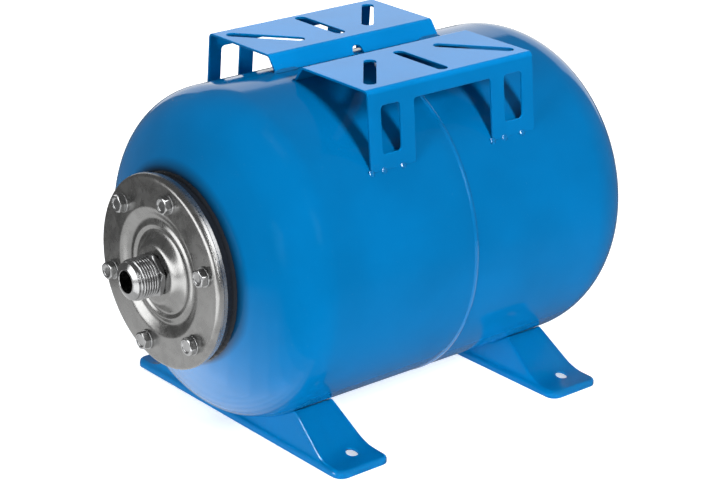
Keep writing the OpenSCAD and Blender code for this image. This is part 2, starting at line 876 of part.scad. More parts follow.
// Valve core: a slim body in the stem's bore with its pin flush with the stem's end
module valve_core() {
    body_r = valve_bore_r - bolt_fit;
    pin_r = 0.8;
    pin_l = 3;
    color(BRASS) turned([
        [0, nose_top - core_l],
        [body_r, nose_top - core_l],
        [body_r, nose_top - pin_l],
        [pin_r, nose_top - pin_l],
        [pin_r, nose_top],
        [0, nose_top]
    ]);
}

module valve_cap() {
    inner_r = nose_r + bolt_fit;
    outer_r = inner_r + cap_t;
    top = nose_top + cap_t;
    start = valve_hex_top + bolt_fit;
    color(BLACK) turned([
        [inner_r, start],
        [outer_r, start],
        [outer_r, top - chamfer],
        [outer_r - chamfer, top],
        [0, top],
        [0, nose_top + bolt_fit],
        [inner_r, nose_top + bolt_fit]
    ]);
}

front_shell();
rear_shell();
seam_weld();
counter_flange();
counter_flange_weld();
bladder();
flange_plate();
connector();
connector_weld();
flange_bolt(0);  // flange_bolt_1
flange_bolt(1);  // flange_bolt_2
flange_bolt(2);  // flange_bolt_3
flange_bolt(3);  // flange_bolt_4
flange_bolt(4);  // flange_bolt_5
flange_bolt(5);  // flange_bolt_6
flange_washer(0);  // flange_washer_1
flange_washer(1);  // flange_washer_2
flange_washer(2);  // flange_washer_3
flange_washer(3);  // flange_washer_4
flange_washer(4);  // flange_washer_5
flange_washer(5);  // flange_washer_6
foot(-1);  // front_foot
foot(1);  // rear_foot
right_bracket();
left_bracket();
right_bracket_welds();
left_bracket_welds();
valve_boss();
valve_seal();
valve_stem();
valve_core();
valve_cap();
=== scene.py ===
import json
import math
from types import SimpleNamespace

import bmesh
import bpy
from bpy.props import FloatProperty, FloatVectorProperty, IntProperty, PointerProperty
from mathutils import Matrix, Vector, noise
from mathutils.geometry import delaunay_2d_cdt

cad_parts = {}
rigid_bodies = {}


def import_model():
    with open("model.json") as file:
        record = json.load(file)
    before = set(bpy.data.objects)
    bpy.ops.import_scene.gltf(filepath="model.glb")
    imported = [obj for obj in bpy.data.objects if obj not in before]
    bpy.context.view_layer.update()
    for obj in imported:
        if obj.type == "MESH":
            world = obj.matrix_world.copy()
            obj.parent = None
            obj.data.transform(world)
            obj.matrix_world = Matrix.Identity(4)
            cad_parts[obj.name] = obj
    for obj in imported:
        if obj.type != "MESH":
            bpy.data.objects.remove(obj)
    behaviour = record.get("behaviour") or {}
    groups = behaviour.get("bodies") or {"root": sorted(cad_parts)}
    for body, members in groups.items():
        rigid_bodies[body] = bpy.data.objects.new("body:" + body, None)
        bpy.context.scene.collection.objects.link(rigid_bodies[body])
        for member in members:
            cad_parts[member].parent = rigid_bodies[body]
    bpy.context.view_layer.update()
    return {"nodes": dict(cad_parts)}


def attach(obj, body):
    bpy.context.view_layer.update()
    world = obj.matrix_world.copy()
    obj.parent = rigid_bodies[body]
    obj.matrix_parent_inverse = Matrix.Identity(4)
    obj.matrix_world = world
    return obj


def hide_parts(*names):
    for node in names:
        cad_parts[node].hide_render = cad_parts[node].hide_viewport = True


bl_info = {
    "name": "Water pressure tank",
    "version": (1, 0, 0),
    "blender": (4, 5, 0),
    "location": "View3D > Sidebar > Tank",
    "description": "Builds a horizontal bladder tank with its flange, feet and pump platform",
    "category": "Object",
}

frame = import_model()
TAU = 2 * math.pi
THREAD_DEPTH = 1.479


# Properties


def length(name, description, value):
    """A length property, given in millimetres and kept in metres."""
    return FloatProperty(name=name, description=description, default=value / 1000.0,
                         min=0.0, precision=5, unit="LENGTH", subtype="DISTANCE")


def angle(name, description, degrees):
    """An angle property, given in degrees."""
    return FloatProperty(name=name, description=description, default=math.radians(degrees),
                         unit="ROTATION", subtype="ANGLE")


def tint(name, description, value):
    """A colour property."""
    return FloatVectorProperty(name=name, description=description, default=value,
                               subtype="COLOR", size=3, min=0.0, max=1.0)


def factor(name, description, value):
    """A property between 0 and 1."""
    return FloatProperty(name=name, description=description, default=value,
                         min=0.0, max=1.0, subtype="FACTOR")


class TankSizes(bpy.types.PropertyGroup):
    """Sizes of the tank's two halves and of their weld"""
    tank_r: length("Tank radius", "Outer radius of the tank", 135)
    shell_t: length("Sheet", "Sheet thickness of the two halves", 1.5)
    half_l: length("Half body", "Half of the straight length", 136.5)
    axis_h: length("Axis height", "Height of the tank's axis above the floor", 147)
    front_knuckle: length("Front knuckle", "Knuckle radius of the flanged end", 45.5)
    front_crown: length("Front crown", "Crown radius of the flanged end", 242)
    rear_knuckle: length("Rear knuckle", "Knuckle radius of the closed end", 55)
    rear_crown: length("Rear crown", "Crown radius of the closed end", 195.5)
    mouth_r: length("Mouth", "Radius of the opening in the flanged end", 70)
    lap_l: length("Lip", "Length of the front half's lip inside the rear half", 10)
    groove_w: length("Groove", "Width of the groove that the body weld fills", 3)
    seam_w: length("Weld width", "Width of the body weld", 4.5)
    seam_h: length("Weld height", "Height of the body weld", 0.8)
    segments: IntProperty(name="Segments", description="Facets round the tank", default=224, min=48)


class FlangeSizes(bpy.types.PropertyGroup):
    """Sizes of the flange, its ring, its bolts and the water connection"""
    plate_r: length("Plate radius", "Outer radius of the flange plate", 78.5)
    plate_t: length("Plate sheet", "Sheet thickness of the flange plate", 2.5)
    rim_r: length("Rim", "Radius of the rounded rim", 4.2)
    skirt_l: length("Skirt", "Length of the turned-back skirt", 10.6)
    skirt_step: length("Skirt step", "How far the skirt's rear band steps in", 1.2)
    skirt_band: length("Skirt band", "Width of the skirt's rear band", 4)
    hub_rise: length("Hub", "Height of the raised hub", 4)
    hub_r: length("Hub seat", "Radius of the flat seat on the hub", 22)
    cone_r: length("Cone foot", "Radius at the foot of the hub's cone", 34)
    dish_depth: length("Dish", "Depth of the dished ring", 4.2)
    bead_rise: length("Bead height", "Height of the bead in the dished ring", 1.3)
    bead_w: length("Bead width", "Width of the bead in the dished ring", 7.5)
    dish_r: length("Dish radius", "Radius where the bolting face starts", 53.4)
    dish_slope: length("Dish slope", "Width of the slope beside the bolting face", 11.5)
    ring_t: length("Ring", "Thickness of the black ring", 10.7)
    ring_bore: length("Ring bore", "Bore radius of the black ring", 56.5)
    spigot_l: length("Spigot", "Length of the ring's spigot in the mouth", 4)
    ring_weld: length("Ring weld", "Leg length of the weld round the black ring", 2.5)
    collar_t: length("Collar", "Thickness of the clamped rubber collar", 4)
    bolt_circle: length("Bolt circle", "Radius of the bolt circle", 63.8)
    bolt_phase: angle("First bolt", "Angle of the first bolt", 15)
    bolt_af: length("Bolt head", "Bolt head width across flats", 13)
    bolt_head: length("Head height", "Bolt head height", 5.5)
    bolt_l: length("Bolt length", "Length under the head", 20)
    bolt_r: length("Bolt radius", "Thread radius of the bolts", 4)
    washer_r: length("Washer", "Outer radius of the washers", 8)
    washer_t: length("Washer sheet", "Thickness of the washers", 1.6)
    thread_r: length("Thread radius", "Outer radius of the connection's thread", 16.625)
    thread_l: length("Thread length", "Length of the connection's thread", 16)
    pitch: length("Pitch", "Pitch of the connection's thread", 2.309)
    bore_r: length("Bore", "Bore radius of the connection", 9)
    nose_l: length("Nose", "Plain nose in front of the thread", 4)
    neck_l: length("Neck", "Plain neck behind the thread", 1)
    hex_af: length("Hexagon", "Width across flats of the connection", 32.5)
    hex_t: length("Hexagon height", "Thickness of the connection's hexagon", 5)
    tail_r: length("Tail radius", "Radius of the tail through the plate", 12.5)
    tail_l: length("Tail", "How far the tail reaches behind the hub", 8.5)


class FootSizes(bpy.types.PropertyGroup):
    """Sizes of the two pressed feet"""
    width: length("Width", "Width along the tank", 52.7)
    length: length("Length", "Length across the tank", 277.6)
    pitch: length("Pitch", "Distance between the two feet", 230)
    sheet: length("Sheet", "Sheet thickness", 2)
    pad_h: length("Pad height", "Height of the pads", 6)
    hole_y: length("Hole position", "Distance of the holes from the middle plane", 117)
    hole_shift: length("Hole shift", "How far the holes lie off the middle", 4)
    hole_r: length("Hole radius", "Radius of the floor bolt holes", 5)
    slope_end: length("Slope end", "Where the slope runs out on the pad", 113)
    fillet: length("Pad rounding", "Rounding where the slope meets the pad", 40)
    lip_r: length("Lip", "Rounding of the lip's edge", 3)
    corner_r: length("Corner", "Plan radius of the corners", 9)
    crest_angle: angle("Crest angle", "Angle round the axis to the crest", 32.5)
    lean: angle("Lean", "Lean of the face towards the flange", 11)
    back_lean: angle("Back lean", "Lean of the face towards the closed end", 8)
    press: length("Press rounding", "Softness of the pressed edges", 3.4)


class BracketSizes(bpy.types.PropertyGroup):
    """Sizes of the two platform brackets and their welds"""
    length: length("Length", "Length along the tank", 171)
    sheet: length("Sheet", "Sheet thickness", 2)
    rise: length("Rise", "Height of the platform above the tank", 12.3)
    plate_in: length("Inner edge", "Distance of the inner edge from the middle", 20.8)
    plate_out: length("Outer edge", "Distance of the outer edge from the middle", 100.8)
    web_land: length("Web foot", "Where the web lands on the tank", 11.4)
    leg_land: length("Leg foot", "Where the legs land on the tank", 106.4)
    bend_r: length("Bend", "Outside radius of the bends", 4.5)
    strip_h: length("Strip", "Height of the strip above the openings", 13.3)
    gap_w: length("Opening", "Width of the large opening", 80)
    window_w: length("Window", "Width of the window in each leg", 19)
    window_x: length("Window place", "Distance of each window from the middle", 63.6)
    sill_h: length("Sill", "Height of the strip below each window", 12.5)
    window_r: length("Corner", "Corner radius of the openings", 3)
    notch_w: length("Notch width", "Width of the notch in the web", 10)
    notch_h: length("Notch height", "Height of the notch in the web", 8)
    slot_w: length("Slot width", "Width of the pump slots", 10)
    slot_l: length("Slot length", "Length of the middle pump slots", 60)
    slant_l: length("Slanted slot length", "Length of the slanted pump slots", 65)
    slot_y: length("Slot row", "Distance of the slots from the middle plane", 63)
    slot_x: length("Slot place", "Distance of the slanted slots from the middle", 54)
    slot_shift: length("Slot shift", "How far the slanted slots lie off the middle", 2.5)
    slant: angle("Slant", "Slant of the outer slots", 40)
    edge_r: length("Edge", "Rounding of the sheet's edges", 0.45)
    tack_r: length("Tack", "Size of the weld tacks", 2.6)
    bead_r: length("Bead", "Size of the weld beads", 2.4)
    bead_l: length("Bead length", "Length of the weld beads", 20)


class ValveSizes(bpy.types.PropertyGroup):
    """Sizes of the air valve"""
    boss_r: length("Boss", "Outer radius of the boss", 12)
    boss_h: length("Boss height", "Height of the boss", 4)
    spigot_r: length("Spigot", "Radius of the boss's spigot", 8)
    shank_r: length("Shank", "Radius of the valve's shank", 5)
    seal_t: length("Seal", "Thickness of the sealing ring", 1)
    hex_af: length("Hexagon", "Width across flats", 14)
    hex_t: length("Hexagon height", "Thickness of the hexagon", 5)
    nose_r: length("Nose", "Radius of the nose", 3.9)
    nose_l: length("Nose length", "Length of the nose", 8)
    bore_r: length("Bore", "Bore radius", 2.6)
    cap_t: length("Cap wall", "Wall of the cap", 1.6)


class Looks(bpy.types.PropertyGroup):
    """Colours and finish of the tank"""
    blue: tint("Paint", "Colour of the paint", (0.0, 0.125, 0.335))
    # Near-black ring paint; its black also stands in for the deep shade in the gap behind the flange, so
    # it is partly painted shade.
    black: tint("Black paint", "Colour of the ring behind the flange", (0.012, 0.014, 0.018))
    zinc: tint("Pressed plate", "Colour of the plated flange plate", (0.34, 0.34, 0.336))
    steel: tint("Plated steel", "Colour of bolts, washers and connection", (0.47, 0.475, 0.48))
    rubber: tint("Rubber", "Colour of the rubber", (0.02, 0.02, 0.022))
    brass: tint("Brass", "Colour of the valve", (0.58, 0.44, 0.2))
    gloss: factor("Paint roughness", "Roughness of the paint", 0.09)


class StageLooks(bpy.types.PropertyGroup):
    """Light, floor and camera"""
    white: tint("Floor", "Colour of the floor", (0.93, 0.93, 0.93))
    world: factor("Surround", "Strength of the surround's light", 0.15)
    glow: factor("Floor glow", "How much the floor shines by itself", 0.6)
    lens: FloatProperty(name="Lens", description="Focal length in millimetres", default=110.75,
                        min=1.0, unit="CAMERA")
    camera_at: FloatVectorProperty(name="Camera", description="Place of the camera", size=3,
                                   default=(-1.110451, -1.314711, 0.800013),
                                   subtype="TRANSLATION", unit="LENGTH")
    azimuth: angle("Azimuth", "Direction of the view", -39.902)
    elevation: angle("Elevation", "Height of the view", 21.513)
    roll: angle("Roll", "Roll of the camera", 0.554)


GROUPS = {"tank": TankSizes, "flange": FlangeSizes, "foot": FootSizes, "bracket": BracketSizes,
          "valve": ValveSizes, "looks": Looks, "stage": StageLooks}
ON_SCENE = "tank_sizes_"


# Sizes in millimetres, in a frame whose x = 0 is the body weld's middle


def in_mm(group):
    """A property group's values, with every length turned into millimetres."""
    out = {}
    for name in group.__annotations__:
        value = getattr(group, name)
        unit = group.bl_rna.properties[name].unit
        out[name] = value * 1000.0 if unit == "LENGTH" else value
    return SimpleNamespace(**out)


def crown_back(d, knuckle, crown):
    """How far the crown's centre lies behind the end of the straight body."""
    return math.sqrt((crown - knuckle) ** 2 - (d.tank.tank_r - knuckle) ** 2)


def dome_height(d, r, knuckle, crown):
    """How far a domed end stands out at radius r."""
    return math.sqrt(crown ** 2 - r ** 2) - crown_back(d, knuckle, crown)


def sizes(context):
    """All sizes in millimetres, with the places that follow from them."""
    d = SimpleNamespace(**{key: in_mm(getattr(context.scene, ON_SCENE + key))
                           for key in ("tank", "flange", "foot", "bracket", "valve")})
    t, f, b, v = d.tank, d.flange, d.bracket, d.valve
    d.gap, d.lap_gap, d.fit, d.hole_fit = 0.15, 0.1, 0.3, 0.2
    d.shift = d.foot.hole_shift
    d.saddle_r = t.tank_r + d.gap
    d.ring_back = t.half_l + dome_height(d, t.mouth_r, t.front_knuckle, t.front_crown) + d.gap
    d.ring_front = d.ring_back + f.ring_t
    d.collar_front = d.ring_front + f.collar_t
    d.face = d.collar_front + f.plate_t
    d.hub = d.face + f.hub_rise
    d.hex_face = d.hub + f.hex_t
    d.port_end = d.hex_face + f.neck_l + f.thread_l + f.nose_l
    d.tail_end = d.hub - f.tail_l
    d.skirt_end_r = f.plate_r - f.skirt_step
    d.ring_r = d.skirt_end_r - f.plate_t - d.fit
    d.apex = t.half_l + dome_height(d, 0, t.rear_knuckle, t.rear_crown)
    d.boss_top = d.apex + d.gap + v.boss_h
    d.seal_top = d.boss_top + v.seal_t
    d.valve_hex = d.seal_top + v.hex_t
    d.nose_top = d.valve_hex + v.nose_l
    d.shank_end = d.apex - t.shell_t - v.boss_h / 2
    d.platform = t.axis_h + t.tank_r + b.rise
    return d


# Mesh helpers


def at(d, x, y, z):
    """A point in the part's frame, in metres."""
    return Vector(((x - d.shift) / 1000, y / 1000, z / 1000))


def ring(d, x, r, count, y=0.0, z=None):
    """Points round an axis along x: the tank's own, or one through (y, z).

    r may be a function of the angle, and x a function of the radius."""
    z = d.tank.axis_h if z is None else z
    out = []
    for i in range(count):
        a = TAU * i / count
        rr = r(a) if callable(r) else r
        out.append(at(d, x(rr) if callable(x) else x, y + rr * math.cos(a), z + rr * math.sin(a)))
    return out


def skin(rings, loop=False):
    """Points and faces between rings of points; a ring of one point closes an end."""
    verts, faces, starts = [], [], []
    for points in rings:
        starts.append(len(verts))
        verts.extend(points)
    pairs = list(zip(range(len(rings) - 1), range(1, len(rings))))
    if loop:
        pairs.append((len(rings) - 1, 0))
    for a, b in pairs:
        n, m = len(rings[a]), len(rings[b])
        count = max(n, m)
        for i in range(count):
            j = (i + 1) % count
            quad = [starts[a] + i % n, starts[a] + j % n, starts[b] + j % m, starts[b] + i % m]
            face = [q for k, q in enumerate(quad) if q not in quad[:k]]
            if len(face) > 2:
                faces.append(face)
    return verts, faces


def lathe(d, profile, count=128, loop=True, y=0.0, z=None):
    """Turns (r, x) points round an axis along x: the tank's own, or one through (y, z)."""
    z = d.tank.axis_h if z is None else z
    return skin([[at(d, x, y, z)] if not callable(r) and r <= 1e-6 else ring(d, x, r, count, y, z)
                 for r, x in profile], loop)


def joined(shapes):
    """One shape's points and faces out of several."""
    verts, faces = [], []
    for more_verts, more_faces in shapes:
        faces += [[k + len(verts) for k in face] for face in more_faces]
        verts += more_verts
    return verts, faces


def arc(cx, cy, r, start, end, steps):
    """Points on an arc from one angle to another."""
    return [(cx + r * math.cos(start + (end - start) * i / steps),
             cy + r * math.sin(start + (end - start) * i / steps)) for i in range(steps + 1)]


def softened(profile, r, steps=4):
    """A closed profile whose corners are rounded."""
    out, n = [], len(profile)
    for i, p in enumerate(profile):
        p = Vector(p)
        a, b = Vector(profile[i - 1]) - p, Vector(profile[(i + 1) % n]) - p
        turn = a.angle(b) / 2
        cut = min(r / math.tan(turn), a.length * 0.45, b.length * 0.45)
        a.normalize()
        b.normalize()
        reach = cut * math.tan(turn)
        centre = p + (a + b).normalized() * (reach / math.sin(turn))
        u, w = p + a * cut - centre, p + b * cut - centre
        out += [tuple(centre + u.slerp(w, k / steps).normalized() * reach) for k in range(steps + 1)]
    return out


def ease(p, q, steps=8):
    """Points from p to q on a line that starts and ends level."""
    return [(p[0] + (q[0] - p[0]) * i / steps,
             p[1] + (q[1] - p[1]) * (1 - math.cos(math.pi * i / steps)) / 2)
            for i in range(1, steps + 1)]


def hexagon(across, turn, soft):
    """Radius of a hexagon's outline as a function of the angle, with softened corners."""
    flat, sixth = across / 2, math.pi / 3
    corner = flat / math.cos(sixth / 2) - soft
    return lambda a: min(flat / math.cos((a - turn + sixth / 2) % sixth - sixth / 2), corner)


def chamfer(x, slope, flat):
    """Place of a hexagon's edge, which leans by slope outside the radius flat."""
    return lambda r: x + slope * (r - flat)


def linked(name, data):
    """A new object in the scene."""
    obj = bpy.data.objects.new(name, data)
    bpy.context.scene.collection.objects.link(obj)
    return obj


def new_mesh(name, verts, faces, merge=False):
    """A mesh whose faces all look outward; merge joins points that fall together."""
    mesh = bpy.data.meshes.new(name)
    mesh.from_pydata([tuple(v) for v in verts], [], faces)
    bm = bmesh.new()
    bm.from_mesh(mesh)
    if merge:
        bmesh.ops.remove_doubles(bm, verts=bm.verts, dist=1e-7)
    bmesh.ops.recalc_face_normals(bm, faces=bm.faces)
    bm.to_mesh(mesh)
    bm.free()
    return mesh


def piece(context, node, shape, key, sharp=35, normals=None):
    """Makes the object that stands for one CAD node; shape is its points and faces."""
    mesh = new_mesh(node + "_look", *shape, merge=normals is None)
    mesh.validate()
    mesh.shade_smooth()
    if normals is None:
        mesh.set_sharp_from_angle(angle=math.radians(sharp))
    else:
        mesh.normals_split_custom_set_from_vertices([tuple(n) for n in normals])
    obj = linked(node + "_look", mesh)
    material, slot = look(context, key)
    mesh.materials.append(material)
    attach(obj, "root")
    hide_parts(node)
    if not mesh.polygons:
        raise RuntimeError(f"{node} has no faces")
    return obj


def even_normals(obj):
    """Shades the large faces flat beside their rounded edges."""
    mod = obj.modifiers.new("Even normals", "WEIGHTED_NORMAL")
    mod.keep_sharp = True
    mod.weight = 60


# Materials


class Shader:
    """Builds one material's node tree."""

    def __init__(self, name):
        self.material = bpy.data.materials.new(name)
        self.material.use_nodes = True
        self.tree = self.material.node_tree
        self.tree.nodes.clear()
        self.out = self.tree.nodes.new("ShaderNodeOutputMaterial")
        self.place = self.add("ShaderNodeTexCoord").outputs["Object"]

    def put(self, socket, value):
        """Links a socket to another, or gives it a value."""
        if isinstance(value, bpy.types.NodeSocket):
            self.tree.links.new(value, socket)
        else:
            socket.default_value = value

    def add(self, kind, *values, **inputs):
        """A node with values on its first sockets, or on named ones."""
        node = self.tree.nodes.new(kind)
        for index, value in enumerate(values):
            self.put(node.inputs[index], value)
        for key, value in inputs.items():
            self.put(node.inputs[key.replace("_", " ")], value)
        return node

    def noise(self, scale, detail=4.0, rough=0.5, distort=0.0, place=None):
        """Noise over the object, or over another place."""
        return self.add("ShaderNodeTexNoise", Vector=place or self.place, Scale=scale,
                        Detail=detail, Roughness=rough, Distortion=distort).outputs["Fac"]

    def spread(self, value, low, high, to_low=0.0, to_high=1.0):
        """Stretches the range from low to high over the one from to_low to to_high."""
        return self.add("ShaderNodeMapRange", value, low, high, to_low, to_high).outputs["Result"]

    def math(self, kind, a, b=0.0):
        """One sum or other operation on two values."""
        node = self.add("ShaderNodeMath", a, b)
        node.operation = kind
        return node.outputs[0]

    def scaled(self, value, k):
        """A value times k."""
        return self.math("MULTIPLY", value, k)

    def mix(self, fac, a, b):
        """A colour between a and b."""
        node = self.tree.nodes.new("ShaderNodeMix")
        node.data_type = "RGBA"
        for index, value in ((0, fac), (6, a), (7, b)):
            self.put(node.inputs[index], value)
        return node.outputs[2]

    def bump(self, height, strength, distance, normal=None):
        """Fine relief, on top of another one if that is given."""
        node = self.add("ShaderNodeBump", Height=height, Strength=strength, Distance=distance)
        if normal is not None:
            self.put(node.inputs["Normal"], normal)
        return node.outputs["Normal"]

    def edges(self, low, high):
        """How much a place lies on an outer edge."""
        node = self.add("ShaderNodeNewGeometry")
        return self.spread(node.outputs["Pointiness"], low, high)

    def finish(self, shader, **constants):
        """Sets the constants on the shader's own sockets and returns the material."""
        for key, value in constants.items():
            shader.inputs[key.replace("_", " ")].default_value = value
        self.tree.links.new(shader.outputs[0], self.out.inputs["Surface"])
        return self.material


def rgba(c, k=1.0):
    """A colour with its brightness times k."""
    return (min(c[0] * k, 1), min(c[1] * k, 1), min(c[2] * k, 1), 1.0)


def paint(name, colour, roughness, peel=1.0, coat=0.0, ring_shadow=None):
    """Thick glossy paint: slight colour drift, orange peel, fine dust, worn edges.

    With its last argument, a height and three places, it paints a shadow that fades out on the paint
    round the black ring."""
    s = Shader(name)
    drift = s.spread(s.noise(14, 3), 0.35, 0.65)
    base = s.mix(drift, rgba(colour, 0.94), rgba(colour, 1.06))
    specks = s.spread(s.noise(900, 2, 0.6), 0.70, 0.78)
    base = s.mix(s.scaled(specks, 0.10), base, (0.45, 0.6, 0.72, 1))
    worn = s.math("MULTIPLY", s.edges(0.56, 0.68), s.spread(s.noise(160, 5, 0.65), 0.52, 0.66))
    base = s.mix(s.scaled(worn, 0.35), base, rgba(colour, 0.55))
    # Painted shadow: near-black shade painted on the front head round the flange's ring, darkest at the
    # ring, fading outwards and narrower towards the bottom.
    if ring_shadow:
        height, inner, outer, front = (v / 1000 for v in ring_shadow)
        at_x, at_y, at_z = s.add("ShaderNodeSeparateXYZ", s.place).outputs
        up = s.math("SUBTRACT", at_z, height)
        r = s.math("SQRT", s.math("ADD", s.math("MULTIPLY", at_y, at_y), s.math("MULTIPLY", up, up)))
        reach = s.scaled(s.spread(up, -0.07, -0.03, 0.35, 1.0), outer - inner)
        fade = s.math("SUBTRACT", 1.0, s.math("DIVIDE", s.math("SUBTRACT", r, inner), reach))
        ahead = s.math("LESS_THAN", at_x, front)
        black = s.math("MULTIPLY", s.spread(fade, 0.0, 1.0), ahead)
        base = s.mix(s.scaled(black, 0.97), base, (0.002, 0.003, 0.004, 1))
    smear = s.spread(s.noise(30, 6, 0.6, 0.6), 0.3, 0.75, roughness * 0.8, roughness * 1.5)
    rough = s.math("ADD", smear, s.scaled(specks, 0.12))
    rough = s.math("ADD", rough, s.scaled(worn, 0.2))
    wave = s.bump(s.noise(9, 2, 0.4), 0.25, 0.0012 * peel)
    grain = s.bump(s.noise(420, 2, 0.5), 0.05 * peel, 0.0004, wave)
    shader = s.add("ShaderNodeBsdfPrincipled", Base_Color=base, Roughness=rough, Normal=grain)
    return s.finish(shader, IOR=1.5, Specular_Tint=rgba([0.15 + c for c in colour]),
                    Coat_Weight=coat, Coat_Roughness=0.05)


def plated(name, colour, roughness, grain, stain, relief=1.0):
    """Zinc-plated steel: cloudy crystals, drawn grain, fine scratches and small stains."""
    s = Shader(name)
    cloud = s.spread(s.noise(70, 6, 0.6, 0.4), 0.3, 0.7)
    stretched = s.add("ShaderNodeMapping", Vector=s.place, Scale=grain).outputs["Vector"]
    lines = s.noise(420, 4, 0.6, 0.0, stretched)
    base = s.mix(cloud, rgba(colour, 0.86), rgba(colour, 1.16))
    spot = s.spread(s.noise(120, 6, 0.7, 1.2), 0.62, 0.74)
    base = s.mix(s.scaled(spot, stain), base, rgba(colour, 0.45))
    edge = s.edges(0.53, 0.62)
    base = s.mix(s.scaled(edge, 0.4), base, rgba(colour, 1.45))
    blend = s.math("ADD", s.scaled(cloud, 0.5), s.scaled(lines, 0.5))
    rough = s.spread(blend, 0.25, 0.75, roughness * 0.75, roughness * 1.3)
    rough = s.math("SUBTRACT", rough, s.scaled(edge, 0.08))
    soft = s.bump(s.noise(35, 3, 0.5), 0.3 * relief, 0.0006)
    marks = s.bump(lines, 0.12 * relief, 0.0003, soft)
    tiny = s.bump(s.noise(1500, 3, 0.6), 0.06 * relief, 0.0002, marks)
    shader = s.add("ShaderNodeBsdfPrincipled", Base_Color=base, Roughness=rough, Normal=tiny)
    return s.finish(shader, Metallic=1.0)


def soft_stuff(name, colour, roughness, scale=300):
    """Rubber or plastic: mould grain, chalky bloom, scuffed edges."""
    s = Shader(name)
    bloom = s.spread(s.noise(40, 5, 0.6), 0.45, 0.75)
    base = s.mix(s.scaled(bloom, 0.35), rgba(colour), rgba(colour, 2.2))
    base = s.mix(s.scaled(s.edges(0.54, 0.64), 0.3), base, rgba(colour, 3.0))
    rough = s.spread(s.noise(120, 4, 0.6), 0.3, 0.7, roughness * 0.85, min(1.0, roughness * 1.15))
    grain = s.bump(s.noise(scale, 3, 0.6), 0.15, 0.0004)
    shader = s.add("ShaderNodeBsdfPrincipled", Base_Color=base, Roughness=rough, Normal=grain)
    return s.finish(shader)


def look(context, key):
    """A finish's material, made when it is first asked for, and its slot."""
    c, d = getattr(context.scene, ON_SCENE + "looks"), sizes(context)
    # Places of the painted shadow round the flange's ring: axis height, inner and outer radius, front end
    # of the head.
    ring_shadow = (d.tank.axis_h, d.ring_r + 1, d.ring_r + 13, -d.tank.half_l)
    turned_steel = [0.8 * v for v in c.steel]
    slot, make, *values = {
        "paint": ("blue_paint", paint, c.blue, c.gloss),
        # This finish carries the painted shadow round the flange's ring.
        "front paint": ("blue_paint", paint, c.blue, c.gloss, 1.0, 0.0, ring_shadow),
        "seam paint": ("blue_paint", paint, c.blue, c.gloss * 1.3, 2.5, 0.5),
        "weld paint": ("blue_paint", paint, c.blue, c.gloss * 0.7, 1.5, 1.0),
        "foot paint": ("blue_paint", paint, c.blue, c.gloss, 1.3, 0.8),
        # The ring and its weld: near-black paint, partly painted shade of the gap behind the flange.
        "black": ("black_paint", paint, c.black, 0.22),
        "zinc": ("zinc_plate", plated, c.zinc, 0.27, (1, 3, 0.4), 0.2, 0.6),
        "steel": ("plated_steel", plated, c.steel, 0.2, (1, 1, 1), 0.3),
        "turned": ("plated_steel", plated, turned_steel, 0.2, (6, 0.3, 0.3), 0.12, 0.35),
        "brass": ("brass", plated, c.brass, 0.24, (5, 0.4, 0.4), 0.2),
        "rubber": ("rubber", soft_stuff, c.rubber, 0.6),
        "plastic": ("black_plastic", soft_stuff, c.rubber, 0.42, 700),
    }[key]
    name = "Tank " + key
    return bpy.data.materials.get(name) or make(name, *values), slot


# Tank


def dome_points(d, inset, knuckle, crown, r_min, side, steps=40):
    """Profile of a domed end from radius r_min to the cylinder, as (r, x)."""
    t = d.tank
    back = crown_back(d, knuckle, crown)
    meet = math.atan2(t.tank_r - knuckle, back)
    start = math.asin(r_min / (crown - inset))
    out = []
    for i in range(steps + 1):
        a = start + (meet - start) * i / steps
        out.append(((crown - inset) * math.sin(a),
                    side * (t.half_l + (crown - inset) * math.cos(a) - back)))
    for i in range(1, steps + 1):
        a = meet + (math.pi / 2 - meet) * i / steps
        out.append((t.tank_r - knuckle + (knuckle - inset) * math.sin(a),
                    side * (t.half_l + (knuckle - inset) * math.cos(a))))
    return out


class TANK_OT_shells(bpy.types.Operator):
    """Build the two deep-drawn halves of the tank"""
    bl_idname = "tank.shells"
    bl_label = "Tank halves"
    bl_options = {"REGISTER", "UNDO"}

    def execute(self, context):
        d = sizes(context)
        t = d.tank
        g, inside = t.groove_w / 2, t.tank_r - t.shell_t
        lap_r, body_rows = inside - d.lap_gap, 12
        lip = [(lap_r, g), (lap_r, g + t.lap_l), (lap_r - t.shell_t, g + t.lap_l),
               (lap_r - t.shell_t, g), (inside, -g)]
        for node, key, side, knuckle, crown, hole, edge in (
                ("front_shell", "front paint", -1, t.front_knuckle, t.front_crown, t.mouth_r, lip),
                ("rear_shell", "paint", 1, t.rear_knuckle, t.rear_crown,
                 d.valve.spigot_r + d.fit, [(inside, g)])):
            outer = dome_points(d, 0, knuckle, crown, hole, side)
            inner = dome_points(d, t.shell_t, knuckle, crown, hole, side, 12)
            body = [(t.tank_r, side * (t.half_l - (t.half_l - g) * i / body_rows))
                    for i in range(1, body_rows + 1)]
            shape = lathe(d, outer + body + edge + inner[::-1], t.segments)
            even_normals(piece(context, node, shape, key))
        return {"FINISHED"}


